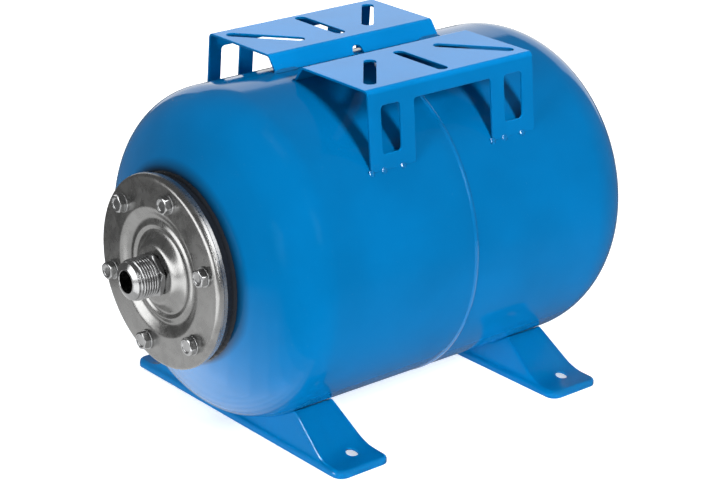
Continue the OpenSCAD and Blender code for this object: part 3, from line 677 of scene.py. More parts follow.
class TANK_OT_seam(bpy.types.Operator):
    """Build the weld round the middle, with overlapping ripples and slightly wandering edges"""
    bl_idname = "tank.seam"
    bl_label = "Body weld"
    bl_options = {"REGISTER", "UNDO"}

    def execute(self, context):
        d = sizes(context)
        t = d.tank
        count, across, ripples = 720, 10, 95
        g = t.groove_w / 2
        rings = []
        for i in range(count):
            a = TAU * i / count
            c, s = math.cos(a), math.sin(a)
            wander = noise.noise(Vector((c * 6, s * 6, 0.3)))
            ripple = abs(math.sin(a * ripples + 2 * wander))
            half = t.seam_w / 2 * (0.9 + 0.1 * noise.noise(Vector((c * 30, s * 30, 4.0))))
            high = t.seam_h * (0.72 + 0.12 * wander + 0.16 * ripple)
            section = []
            for k in range(across + 1):
                u = k / across
                bulge = math.sin(math.pi * u)
                section.append((t.tank_r + high * bulge ** 0.85,
                                half * (2 * u - 1) + 0.25 * ripple * bulge))
            section += [(t.tank_r, g), (t.tank_r - t.shell_t, g), (t.tank_r, -g)]
            rings.append([at(d, x, r * c, t.axis_h + r * s) for r, x in section])
        piece(context, "seam_weld", skin(rings, True), "seam paint", 60)
        return {"FINISHED"}


# Flange


def bolt_places(d):
    """The six bolts' places, as (y, z)."""
    f, angles = d.flange, [d.flange.bolt_phase + i * math.pi / 3 for i in range(6)]
    return [(-f.bolt_circle * math.cos(a), d.tank.axis_h + f.bolt_circle * math.sin(a)) for a in angles]


def drilled(d, obj, x0, x1):
    """Cuts the six bolt holes through a piece, keeps the result as its mesh and evens it."""
    r = d.flange.bolt_r + d.hole_fit
    bits = [lathe(d, [(0, x0), (r, x0), (r, x1), (0, x1)], 40, False, y, z) for y, z in bolt_places(d)]
    cutter = linked("drills", new_mesh("drills", *joined(bits)))
    mod = obj.modifiers.new("Drill", "BOOLEAN")
    mod.operation, mod.solver, mod.object = "DIFFERENCE", "EXACT", cutter
    dg = bpy.context.evaluated_depsgraph_get()
    result = bpy.data.meshes.new_from_object(obj.evaluated_get(dg))
    obj.modifiers.remove(mod)
    obj.data = result
    bpy.data.objects.remove(cutter)
    result.set_sharp_from_angle(angle=math.radians(35))
    even_normals(obj)


class TANK_OT_ring(bpy.types.Operator):
    """Build the black ring behind the flange, which the bolts screw into"""
    bl_idname = "tank.ring"
    bl_label = "Black ring"
    bl_options = {"REGISTER", "UNDO"}

    def execute(self, context):
        d = sizes(context)
        f = d.flange
        spigot_r, spigot_end = d.tank.mouth_r - d.fit, -d.ring_back + f.spigot_l
        profile = [(f.ring_bore, -d.ring_front), (d.ring_r - 1, -d.ring_front),
                   (d.ring_r, -d.ring_front + 1), (d.ring_r, -d.ring_back),
                   (spigot_r, -d.ring_back), (spigot_r, spigot_end), (f.ring_bore, spigot_end)]
        obj = piece(context, "counter_flange", lathe(d, softened(profile, 0.4, 3), 160), "black")
        drilled(d, obj, spigot_end + 1, -d.ring_front - 1)
        return {"FINISHED"}


class TANK_OT_ring_weld(bpy.types.Operator):
    """Build the rippled fillet weld round the black ring"""
    bl_idname = "tank.ring_weld"
    bl_label = "Ring weld"
    bl_options = {"REGISTER", "UNDO"}

    def execute(self, context):
        d = sizes(context)
        f, t = d.flange, d.tank
        count, across, ripples = 480, 6, 70

        def dome(r):
            return t.half_l + dome_height(d, r, t.front_knuckle, t.front_crown) + d.gap
        root = dome(d.ring_r)
        rings = []
        for i in range(count):
            a = TAU * i / count
            c, s = math.cos(a), math.sin(a)
            wave = noise.noise(Vector((c * 9, s * 9, 1.7)))
            leg = f.ring_weld * (0.84 + 0.12 * wave + 0.04 * math.sin(a * ripples + 3 * wave))
            toe = dome(d.ring_r + leg)
            section = [(d.ring_r, -root)]
            for k in range(across + 1):
                u = k / across
                bulge = 0.7 * 0.16 * leg * math.sin(math.pi * u)
                section.append((d.ring_r + leg * u + bulge,
                                -(root + leg) * (1 - u) - toe * u - bulge))
            rings.append([at(d, x, r * c, t.axis_h + r * s) for r, x in section])
        piece(context, "counter_flange_weld", skin(rings, True), "black", 60)
        return {"FINISHED"}


class TANK_OT_plate(bpy.types.Operator):
    """Build the pressed flange plate: hub, cone, dished ring with a bead, rounded rim and skirt"""
    bl_idname = "tank.plate"
    bl_label = "Flange plate"
    bl_options = {"REGISTER", "UNDO"}

    def execute(self, context):
        d = sizes(context)
        f = d.flange
        seat, cone = (f.hub_r, -f.hub_rise), (f.cone_r, f.dish_depth)
        bead = (f.cone_r + f.bead_w / 2, f.dish_depth - f.bead_rise)
        bead_end = (f.cone_r + f.bead_w, f.dish_depth)
        dish_end = (f.dish_r - f.dish_slope, f.dish_depth)
        front = [(f.tail_r + d.fit, -f.hub_rise), seat] + ease(seat, cone, 14) + ease(cone, bead, 7)
        front += ease(bead, bead_end, 7) + [dish_end] + ease(dish_end, (f.dish_r, 0), 14)
        rim_c, step = f.plate_r - f.rim_r, f.skirt_l - f.skirt_band
        rim = arc(rim_c, f.rim_r, f.rim_r, -math.pi / 2, 0, 10)
        band = (f.plate_r, step - 0.5)
        skirt = [band] + ease(band, (d.skirt_end_r, step + 0.7), 5)
        skirt += [(d.skirt_end_r, f.skirt_l - 0.4), (d.skirt_end_r - 0.4, f.skirt_l),
                  (d.skirt_end_r - f.plate_t, f.skirt_l), (d.skirt_end_r - f.plate_t, step + 0.6),
                  (f.plate_r - f.plate_t, step - 0.2)]
        inside = arc(rim_c, f.rim_r, f.rim_r - f.plate_t, 0, -math.pi / 2, 5)
        back = [(r, x + f.plate_t) for r, x in front[::-1]]
        profile = [(r, x - d.face) for r, x in front + rim + skirt + inside + back]
        obj = piece(context, "flange_plate", lathe(d, profile, 180), "zinc")
        drilled(d, obj, -d.collar_front + 1, -d.face - 1)
        return {"FINISHED"}


class TANK_OT_connector(bpy.types.Operator):
    """Build the water connection, with its real thread"""
    bl_idname = "tank.connector"
    bl_label = "Connection"
    bl_options = {"REGISTER", "UNDO"}

    def execute(self, context):
        d = sizes(context)
        f = d.flange
        root, start = f.thread_r - THREAD_DEPTH, d.hex_face + f.neck_l
        end, per_turn = start + f.thread_l, 12
        hexa, flat, lean = hexagon(f.hex_af, math.radians(12), 0.4), f.hex_af / 2 - 0.4, 0.55
        profile = [(f.bore_r, -d.tail_end), (f.tail_r - 0.5, -d.tail_end), (f.tail_r, -d.tail_end - 0.5),
                   (f.tail_r, -d.hub), (flat, -d.hub), (hexa, chamfer(-d.hub, -lean, flat)),
                   (hexa, chamfer(-d.hex_face, lean, flat)), (flat, -d.hex_face),
                   (root + 0.4, -d.hex_face), (root, -d.hex_face - 0.3)]

        def thread(x, fade):
            def radius(a):
                rise = 1 - abs(2 * ((x / f.pitch + a / TAU) % 1.0) - 1)
                tooth = min(1.0, max(0.0, (rise - 0.14) / 0.72))
                tooth = tooth * tooth * (3 - 2 * tooth) * 0.35 + tooth * 0.65
                return root + THREAD_DEPTH * tooth * fade
            return radius, -x
        rows = int((end - start) / f.pitch * per_turn)
        for k in range(rows + 1):
            x = start + (end - start) * k / rows
            profile.append(thread(x, max(0.0, min(1.0, x - start, (end - x) / (0.9 * f.pitch)))))
        tip = -d.port_end
        profile += [(root, -end - 0.5), (root, tip + 2.9), (root - 0.2, tip + 2.4),
                    (f.bore_r + 1.9, tip + 0.15), (f.bore_r + 1.6, tip), (f.bore_r + 0.3, tip),
                    (f.bore_r, tip + 0.3)]
        piece(context, "connector", lathe(d, profile, 120), "turned", 38)
        return {"FINISHED"}


class TANK_OT_bolts(bpy.types.Operator):
    """Build the flange bolts with dished heads, and their washers"""
    bl_idname = "tank.bolts"
    bl_label = "Bolts"
    bl_options = {"REGISTER", "UNDO"}

    def execute(self, context):
        d = sizes(context)
        f = d.flange
        turns = (8, 41, 22, 50, 15, 33)
        seat, top = -d.face - f.washer_t, -d.face - f.washer_t - f.bolt_head
        flat, dish = f.bolt_af / 2 - 0.45, f.bolt_af / 2 - 1.8
        hole_r = f.bolt_r + d.hole_fit
        head = [(0, top + 0.85), (dish * 0.5, top + 0.84), (dish - 0.35, top + 0.8),
                (dish, top + 0.6), (dish + 0.25, top + 0.1), (dish + 0.45, top), (flat - 0.1, top)]
        shank = [(flat, seat), (f.bolt_r + 0.3, seat), (f.bolt_r, seat + 0.3),
                 (f.bolt_r, seat + f.bolt_l - 1), (f.bolt_r - 0.9, seat + f.bolt_l),
                 (0, seat + f.bolt_l)]
        washer = softened([(hole_r, -d.face), (f.washer_r, -d.face), (f.washer_r, seat),
                           (hole_r, seat)], 0.28, 3)
        for i, (y, z) in enumerate(bolt_places(d)):
            hexa = hexagon(f.bolt_af, math.radians(turns[i]), 0.18)
            sides = [(hexa, chamfer(top, 0.55, flat)), (hexa, seat - 0.15)]
            bolt = lathe(d, head + sides + shank, 72, False, y, z)
            piece(context, f"flange_bolt_{i + 1}", bolt, "steel", 32)
            even_normals(piece(context, f"flange_washer_{i + 1}",
                               lathe(d, washer, 64, True, y, z), "steel", 50))
        return {"FINISHED"}


# Feet


def soft_min(a, b, k):
    """The smaller of two heights, with a rounding of size k where they meet."""
    h = max(k - abs(a - b), 0.0) / k
    return min(a, b) - h * h * k / 4


def foot_side_height(d):
    """Height of a foot's middle as a function of the distance from the middle plane."""
    p, h = d.foot, d.tank.axis_h
    crest = Vector((d.saddle_r * math.sin(p.crest_angle), h - d.saddle_r * math.cos(p.crest_angle)))
    toe = Vector((p.slope_end, p.pad_h))
    down = (toe - crest).normalized()
    slope = -math.atan2(down.y, down.x)
    top_y, top_z = p.slope_end + p.fillet * math.tan(slope / 2), p.pad_h + p.fillet
    saddle_soft = 2.6

    def height(y):
        y = abs(y)
        if y >= top_y:
            z = p.pad_h
        elif y >= top_y - p.fillet * math.sin(slope):
            z = top_z - math.sqrt(p.fillet ** 2 - (top_y - y) ** 2)
        else:
            z = toe.y + (toe.x - y) * math.tan(slope)
        if y < d.saddle_r:
            z = soft_min(z, h - math.sqrt(d.saddle_r ** 2 - y * y), saddle_soft)
        return z
    return height


def rounded_box(w, h, r, steps, straight):
    """Outline of a rounded rectangle, counter-clockwise, with points along its sides."""
    w, h = w / 2, h / 2
    corners = [(w - r, h - r, 0), (r - w, h - r, 90), (r - w, r - h, 180), (w - r, r - h, 270)]
    out = []
    for i, (cx, cy, a) in enumerate(corners):
        part = arc(cx, cy, r, math.radians(a), math.radians(a + 90), steps)
        nx, ny, na = corners[(i + 1) % 4]
        px, py = part[-1]
        qx, qy = nx + r * math.cos(math.radians(na)), ny + r * math.sin(math.radians(na))
        out += part + [(px + (qx - px) * k / straight, py + (qy - py) * k / straight)
                       for k in range(1, straight)]
    return out


def triangles(points, edges, inside):
    """Triangles over 2D points that keep the given edges; those outside are left out."""
    verts, _, faces, origin, _, _ = delaunay_2d_cdt([Vector(p) for p in points], edges, [], 0, 1e-6)
    back = [o[0] if o else None for o in origin]
    keep = []
    for face in faces:
        c = sum((verts[i] for i in face), Vector((0, 0))) / len(face)
        ids = [back[i] for i in face]
        if None not in ids and inside(c.x, c.y):
            keep.append(ids)
    return keep


def foot_shape(d, side):
    """One foot's outer face, from the floor up over the lip to the saddle."""
    p = d.foot
    side_height = foot_side_height(d)
    half_x, half_y = p.width / 2 - p.lip_r, p.length / 2 - p.lip_r
    corner, lip_soft, lip_reach = p.corner_r - p.lip_r, 5.0, 6

    def height(x, y):
        ramp = p.pad_h + (half_x - abs(x)) / math.tan(p.back_lean if x > 0 else p.lean)
        wall = ramp if ramp > p.pad_h + lip_reach else max(p.pad_h, -soft_min(-ramp, -p.pad_h, lip_soft))
        return soft_min(side_height(y), wall, p.press)

    loops = []
    for degrees in range(90, -1, -15):
        a = math.radians(degrees)
        off, drop = p.lip_r * (1 - math.sin(a)), p.lip_r * (1 - math.cos(a))
        loop = rounded_box(p.width - 2 * off, p.length - 2 * off, p.corner_r - off, 10, 26)
        loops.append([(x, y, height(x, y) - drop) for x, y in loop])
    wall = [[(x, y, z) for x, y, _ in loops[0]] for z in (0.0, 1.0)]
    verts, faces = skin(wall + loops)
    n = len(loops[0])
    start = len(verts) - n
    flat = [(x, y) for x, y, _ in loops[-1]]
    edges = [(i, (i + 1) % n) for i in range(n)]
    holes, hole_n = [(p.hole_shift, -p.hole_y), (p.hole_shift, p.hole_y)], 40
    for hx, hy in holes:
        first = len(flat)
        flat += arc(hx, hy, p.hole_r, 0, TAU, hole_n)[:-1]
        edges += [(first + i, first + (i + 1) % hole_n) for i in range(hole_n)]

    def inside(x, y, margin=0.0):
        ax, ay = abs(x), abs(y)
        if ax > half_x - margin or ay > half_y - margin:
            return False
        if ax > half_x - corner and ay > half_y - corner:
            if math.hypot(ax - half_x + corner, ay - half_y + corner) > corner - margin:
                return False
        return all(math.hypot(x - hx, y - hy) > p.hole_r + margin for hx, hy in holes)

    fine, margin = 0.35, 0.3
    xs = [half_x - fine * i for i in range(1, 28)] + [12.5, 10, 7.5, 5, 2.5]
    xs = sorted([-x for x in xs] + [0.0] + xs)
    ys, y = [], 0.0
    while y < half_y:
        ys.append(y)
        y += 0.9 if 58 < y < 76 else (1.8 if y > 76 else 3.0)
    for y in sorted(set([-y for y in ys] + ys)):
        flat += [(x, y) for x in xs if inside(x, y, margin)]
    index = list(range(start, start + n)) + list(range(len(verts), len(verts) + len(flat) - n))
    faces += [[index[i] for i in tri] for tri in triangles(flat, edges, inside)]
    verts += [(x, y, height(x, y)) for x, y in flat[n:]]
    return [at(d, x + side * p.pitch / 2, y, z) for x, y, z in verts], faces


class TANK_OT_feet(bpy.types.Operator):
    """Build the two pressed feet"""
    bl_idname = "tank.feet"
    bl_label = "Feet"
    bl_options = {"REGISTER", "UNDO"}

    def execute(self, context):
        d = sizes(context)
        for name, side in (("front_foot", -1), ("rear_foot", 1)):
            obj = piece(context, name, foot_shape(d, side), "foot paint", 60)
            upward = sum((p.normal.z for p in obj.data.polygons if abs(p.center.y) < 0.05), 0.0)
            if upward < 0:
                obj.data.flip_normals()
            mod = obj.modifiers.new("Sheet", "SOLIDIFY")
            mod.thickness, mod.offset, mod.use_even_offset = d.foot.sheet / 1000, -1, True
            bevel = obj.modifiers.new("Cut edges", "BEVEL")
            bevel.width, bevel.segments, bevel.limit_method = 0.0003, 2, "ANGLE"
            bevel.angle_limit = math.radians(50)
        return {"FINISHED"}


# Brackets


class Path:
    """The bracket's outer face seen along the tank: web, bend, plate, bend, leg."""

    def __init__(self, d):
        b, h = d.bracket, d.tank.axis_h
        self.bend_r = b.bend_r

        def land(u):
            return Vector((u, h + math.sqrt(d.saddle_r ** 2 - u * u)))
        p = self.points = [land(b.web_land), Vector((b.plate_in, d.platform)),
                           Vector((b.plate_out, d.platform)), land(b.leg_land)]
        self.parts, self.bends, v, start = [], [], 0.0, p[0]
        for i in (1, 2):
            a, c = (p[i - 1] - p[i]).normalized(), (p[i + 1] - p[i]).normalized()
            half = a.angle(c) / 2
            cut = b.bend_r / math.tan(half)
            first = p[i] + a * cut
            line_end = v + (first - start).length
            self.parts.append(("line", v, line_end, start, (first - start).normalized()))
            centre = p[i] + (a + c).normalized() * (b.bend_r / math.sin(half))
            v = line_end + (math.pi - 2 * half) * b.bend_r
            self.parts.append(("arc", line_end, v, centre, (first - centre).normalized()))
            self.bends.append((line_end, v))
            start = p[i] + c * cut
        self.total = v + (p[3] - start).length
        self.parts.append(("line", v, self.total, start, (p[3] - start).normalized()))

    def at(self, v):
        """Point, normal and direction at length v."""
        for kind, v0, v1, base, way in self.parts:
            if v <= v1 or v1 == self.total:
                if kind == "line":
                    return base + way * (v - v0), Vector((-way.y, way.x)), way
                turn = (v - v0) / self.bend_r
                n = Vector((way.x * math.cos(turn) + way.y * math.sin(turn),
                            way.y * math.cos(turn) - way.x * math.sin(turn)))
                return base + n * self.bend_r, n, Vector((n.y, -n.x))

    def on_plate(self, u):
        """Length where the plate is u away from the middle plane."""
        return self.parts[2][1] + u - self.parts[2][3].x

    def on_leg(self, z):
        """Length where the leg is at height z."""
        base, way = self.parts[4][3], self.parts[4][4]
        return self.parts[4][1] + (z - base.y) / way.y


def bracket_loops(d, path):
    """Outline and holes of the unbent bracket, as (x, v), and the rows of its bends."""
    b = d.bracket
    half, g, nr = b.length / 2, b.gap_w / 2, b.notch_w / 2
    top = path.on_leg(d.platform - b.strip_h)
    bottom = path.on_leg(path.points[3].y + b.sill_h)
    end, corner = path.total, top + b.window_r
    stations = [v0 + (v1 - v0) * i / 8 for v0, v1 in path.bends for i in range(9)]
    outline = [(-half, 0), (-nr, 0), (-nr, b.notch_h - nr)]
    outline += arc(0, b.notch_h - nr, nr, math.pi, 0, 14)[1:-1]
    outline += [(nr, b.notch_h - nr), (nr, 0), (half, 0)]
    outline += [(half, v) for v in stations] + [(half, end), (g, end)]
    outline += arc(g - b.window_r, corner, b.window_r, 0, -math.pi / 2, 6)
    outline += arc(b.window_r - g, corner, b.window_r, -math.pi / 2, -math.pi, 6)
    outline += [(-g, end), (-half, end)] + [(-half, v) for v in reversed(stations)]
    window = rounded_box(b.window_w, bottom - top, b.window_r, 6, 2)
    holes = [[(x + s * b.window_x, v + (top + bottom) / 2) for x, v in window] for s in (-1, 1)]
    row = path.on_plate(b.slot_y)
    for x0, slant, size in ((b.slot_shift - b.slot_x, b.slant, b.slant_l), (0.0, 0.0, b.slot_l),
                            (b.slot_shift + b.slot_x, -b.slant, b.slant_l)):
        reach, r = (size - b.slot_w) / 2, b.slot_w / 2
        c, s = math.cos(slant), math.sin(slant)
        holes.append([(x0 + x * c - y * s, row + x * s + y * c)
                      for x, y in arc(0, reach, r, 0, math.pi, 14) + arc(0, -reach, r, math.pi, TAU, 14)])
    return outline, holes, stations


def in_loop(loop, x, y):
    """Whether a point lies inside a closed loop."""
    hit = False
    for i in range(len(loop)):
        (ax, ay), (bx, by) = loop[i - 1], loop[i]
        if (ay > y) != (by > y) and x < (bx - ax) * (y - ay) / (by - ay) + ax:
            hit = not hit
    return hit


def sheet_mesh(loops, lines, thick, edge, place, steps=3):
    """Points, normals and faces of a sheet with rounded edges.

    loops: outline, then holes, all counter-clockwise; lines: further edges to keep.
    place(x, v, h, nx, nv, nh) gives the point and the normal at height h over the outer face."""
    verts, normals, faces = [], [], []
    tops, flat, edges, top_ids, bottom_ids = [], [], [], [], []
    rows = []
    for level, up in ((0.0, 1), (-thick, -1)):
        for j in range(steps + 1)[::up]:
            a = math.pi / 2 * j / steps
            rows.append((edge * (1 - math.sin(a)), level - up * edge * (1 - math.cos(a)),
                         math.sin(a), up * math.cos(a)))
    for loop in loops:
        sign = -1 if tops else 1
        n = len(loop)
        mitred = []
        for i in range(n):
            p, a, c = Vector(loop[i]), Vector(loop[i - 1]), Vector(loop[(i + 1) % n])
            e1, e2 = (p - a).normalized(), (c - p).normalized()
            n1, n2 = Vector((e1.y, -e1.x)) * sign, Vector((e2.y, -e2.x)) * sign
            m = (n1 + n2).normalized()
            mitred.append((p, m, 1 / max(0.5, m.dot(n1))))
        starts = []
        for inset, h, side, up in rows:
            starts.append(len(verts))
            for p, m, stretch in mitred:
                q = p - m * inset * stretch
                point, normal = place(q.x, q.y, h, m.x * side, m.y * side, up)
                verts.append(point)
                normals.append(normal)
        for low, high in zip(starts, starts[1:]):
            for i in range(n):
                j = (i + 1) % n
                faces.append([low + i, low + j, high + j, high + i])
        tops.append([tuple(p - m * edge * stretch) for p, m, stretch in mitred])
        edges += [(len(flat) + i, len(flat) + (i + 1) % n) for i in range(n)]
        flat += tops[-1]
        top_ids += range(starts[0], starts[0] + n)
        bottom_ids += range(starts[-1], starts[-1] + n)

    def inside(x, y):
        return in_loop(tops[0], x, y) and not any(in_loop(h, x, y) for h in tops[1:])
    for tri in triangles(flat, edges + lines, inside):
        faces.append([top_ids[i] for i in tri])
        faces.append([bottom_ids[i] for i in reversed(tri)])
    return verts, normals, faces


class TANK_OT_brackets(bpy.types.Operator):
    """Build the two bent brackets of the pump platform"""
    bl_idname = "tank.brackets"
    bl_label = "Brackets"
    bl_options = {"REGISTER", "UNDO"}

    def execute(self, context):
        d = sizes(context)
        b = d.bracket
        path = Path(d)
        outline, holes, stations = bracket_loops(d, path)
        first = next(i for i, p in enumerate(outline) if p == (b.length / 2, stations[0]))
        last = len(outline) - 1
        lines = [(first + i, last - i) for i in range(len(stations))]
        axis, coped = Vector((0, d.tank.axis_h)), 2
        for name, side in (("right_bracket", -1), ("left_bracket", 1)):
            def place(x, v, h, nx, nv, nh):
                p, n, way = path.at(min(max(v, 0.0), path.total))
                q = p + n * h
                gap = q - axis
                if gap.length < d.saddle_r - 1e-4 and (v < coped or v > path.total - coped):
                    up = way if v < coped else -way
                    rest = gap.dot(up) ** 2 - gap.length_squared + d.saddle_r ** 2
                    q = q + up * (math.sqrt(max(0.0, rest)) - gap.dot(up))
                m = way * nv + n * nh
                return at(d, -side * x, side * q.x, q.y), Vector((-side * nx, side * m.x, m.y))
            verts, normals, faces = sheet_mesh([outline] + holes, lines, b.sheet, b.edge_r, place)
            piece(context, name, (verts, faces), "paint", normals=normals)
        return {"FINISHED"}


def weld_bead(d, foot, up, x0, half, size, side, seed, ripples):
    """A weld in the corner between a sheet's outer face and the tank, from x0 - half to x0 + half."""
    axis, low_r = Vector((0, d.tank.axis_h)), d.tank.tank_r + 0.03
    radial = (foot - axis).normalized()
    tangent = Vector((radial.y, -radial.x)) * (1 if up.x < 0 else -1)
    steps, around = 26, 8
    rings = []
    for i in range(steps + 1):
        t = -1 + 2 * i / steps
        x = x0 + half * t
        swell = max(0.0, 1 - abs(t) ** 3.2) ** 0.5
        wave = 1 + 0.10 * noise.noise(Vector((x * 0.8 + seed, seed * 3.1, 0)))
        wave += 0.07 * math.sin(ripples * math.pi * t + seed)
        s = max(size * swell * wave * 0.92, 0.02)
        section = []
        for k in range(around + 1):
            a = math.pi / 2 * k / around
            gap = foot + (up * math.cos(a) + tangent * math.sin(a)) * (s * 1.02) - axis
            section.append(axis + gap.normalized() * max(gap.length, low_r))
        section += [axis + (foot + tangent * (s * k) - axis).normalized() * low_r for k in (0.6, 0.2)]
        rings.append([at(d, -side * x, side * p.x, p.y) for p in section])
    ends = [[sum(r, Vector()) / len(r)] for r in (rings[0], rings[-1])]
    return skin([ends[0]] + rings + [ends[1]])


class TANK_OT_bracket_welds(bpy.types.Operator):
    """Build the tacks at the brackets' legs and the beads at their webs"""
    bl_idname = "tank.bracket_welds"
    bl_label = "Bracket welds"
    bl_options = {"REGISTER", "UNDO"}

    def execute(self, context):
        d = sizes(context)
        b = d.bracket
        path = Path(d)
        up_leg, up_web = -path.parts[4][4], path.parts[0][4]
        leg_w = (b.length - b.gap_w) / 2
        for name, side in (("right_bracket_welds", -1), ("left_bracket_welds", 1)):
            beads = [weld_bead(d, path.points[3], up_leg, leg + part * leg_w, b.tack_r * 1.02,
                               b.tack_r, side, k * 7 + j * 2.3 + side, 2)
                     for k, leg in enumerate((-b.length / 2, b.gap_w / 2))
                     for j, part in enumerate((0.0, 0.28, 0.7))]
            beads += [weld_bead(d, path.points[0], up_web, k * (b.length - b.bead_l) / 2,
                                b.bead_l / 2 + b.bead_r * 0.9, b.bead_r, side, k * 3.3 + side, 9)
                      for k in (-1, 1)]
            piece(context, name, joined(beads), "weld paint", 60)
        return {"FINISHED"}


# Air valve and inner pieces


class TANK_OT_valve(bpy.types.Operator):
    """Build the air valve: boss, sealing ring, stem and cap"""
    bl_idname = "tank.valve"
    bl_label = "Air valve"
    bl_options = {"REGISTER", "UNDO"}

    def execute(self, context):
        d = sizes(context)
        v = d.valve
        hole, seat = v.shank_r + d.hole_fit, d.apex + d.gap
        boss = softened([(hole, d.boss_top), (v.boss_r - 1, d.boss_top), (v.boss_r, d.boss_top - 1),
                         (v.boss_r, seat), (v.spigot_r, seat), (v.spigot_r, d.shank_end),
                         (hole, d.shank_end)], 0.35, 3)
        even_normals(piece(context, "valve_boss", lathe(d, boss, 72), "paint"))
        outer = v.hex_af / 2 + 0.5
        seal = softened([(hole, d.boss_top), (outer, d.boss_top), (outer, d.seal_top),
                         (hole, d.seal_top)], 0.3, 4)
        piece(context, "valve_seal", lathe(d, seal, 64), "rubber")

        hexa, flat = hexagon(v.hex_af, 0.0, 0.2), v.hex_af / 2 - 0.3
        stem = [(v.bore_r, d.shank_end), (v.shank_r - 0.4, d.shank_end), (v.shank_r, d.shank_end + 0.4),
                (v.shank_r, d.seal_top), (flat, d.seal_top), (hexa, chamfer(d.seal_top, 0.5, flat)),
                (hexa, chamfer(d.valve_hex, -0.5, flat)), (flat, d.valve_hex), (v.nose_r, d.valve_hex)]
        pitch, depth, rows = 0.79, 0.42, 40

        def thread(x, fade):
            return lambda a: v.nose_r - depth * fade * abs(2 * ((x / pitch - a / TAU) % 1.0) - 1), x
        for k in range(rows + 1):
            x = d.valve_hex + 1 + (v.nose_l - 1.6) * k / rows
            stem.append(thread(x, min(1.0, k / 5, (rows - k) / 5)))
        stem += [(v.nose_r - 0.5, d.nose_top), (v.bore_r, d.nose_top)]
        piece(context, "valve_stem", lathe(d, stem, 72), "brass", 38)

        inner, start = v.nose_r + d.hole_fit, d.valve_hex + d.hole_fit
        wall, top, bottom = inner + v.cap_t, d.nose_top + v.cap_t, d.nose_top + d.hole_fit

        def ribbed(a):
            return wall - 0.35 * (0.5 - 0.5 * math.cos(a * 24)) ** 0.6
        cap = [(inner, start), (wall - 0.3, start), (wall, start + 0.3), (wall, start + 1.2),
               (ribbed, start + 1.5), (ribbed, top - 1.4), (wall - 0.4, top - 1.0),
               (wall - 0.8, top - 0.25), (wall - 1.3, top), (2.0, top), (1.4, top - 0.15),
               (0, top - 0.15), (0, bottom), (inner, bottom)]
        piece(context, "valve_cap", lathe(d, cap, 192), "plastic", 40)
        return {"FINISHED"}


class TANK_OT_inside(bpy.types.Operator):
    """Give the pieces inside the tank, which keep their CAD solids, their finish"""
    bl_idname = "tank.inside"
    bl_label = "Inside"
    bl_options = {"REGISTER", "UNDO"}

    def execute(self, context):
        for node, key in (("bladder", "rubber"), ("connector_weld", "steel"), ("valve_core", "brass")):
            mesh = frame["nodes"][node].data
            mesh.materials.clear()
            mesh.materials.append(look(context, key)[0])
        return {"FINISHED"}


# Stage


def softbox(name, place, size, power, show="light", lit=None, target=(0, 0, 0.2), spread=180):
    """An area light that lights ("light"), shows in reflections ("card") or does both ("both").

    With lit, it works only on the pieces of that collection."""
    data = bpy.data.lights.new(name, "AREA")
    data.shape, data.size, data.size_y = "RECTANGLE", size[0], size[1]
    data.energy, data.spread = power, math.radians(spread)
    obj = linked(name, data)
    obj.location = place
    obj.visible_camera = False
    obj.visible_glossy = show != "light"
    obj.visible_diffuse = show != "card"
    if lit:
        obj.light_linking.receiver_collection = lit
    obj.rotation_mode = "QUATERNION"
    obj.rotation_quaternion = (Vector(target) - Vector(place)).to_track_quat("-Z", "Y")
    return obj


def floor_card(name, x, y, z, size, power, lit, spread=180):
    """A card that lies on the floor and looks up."""
    return softbox(name, (x, y, z), size, power, "card", lit, (x, y, 1), spread)


def gathered(name, wanted):
    """A collection of the pieces whose names pass the test."""
    group = bpy.data.collections.new(name)
    for obj in bpy.context.scene.collection.all_objects:
        if obj.type == "MESH" and obj.name.endswith("_look") and wanted(obj.name):
            group.objects.link(obj)
    return group


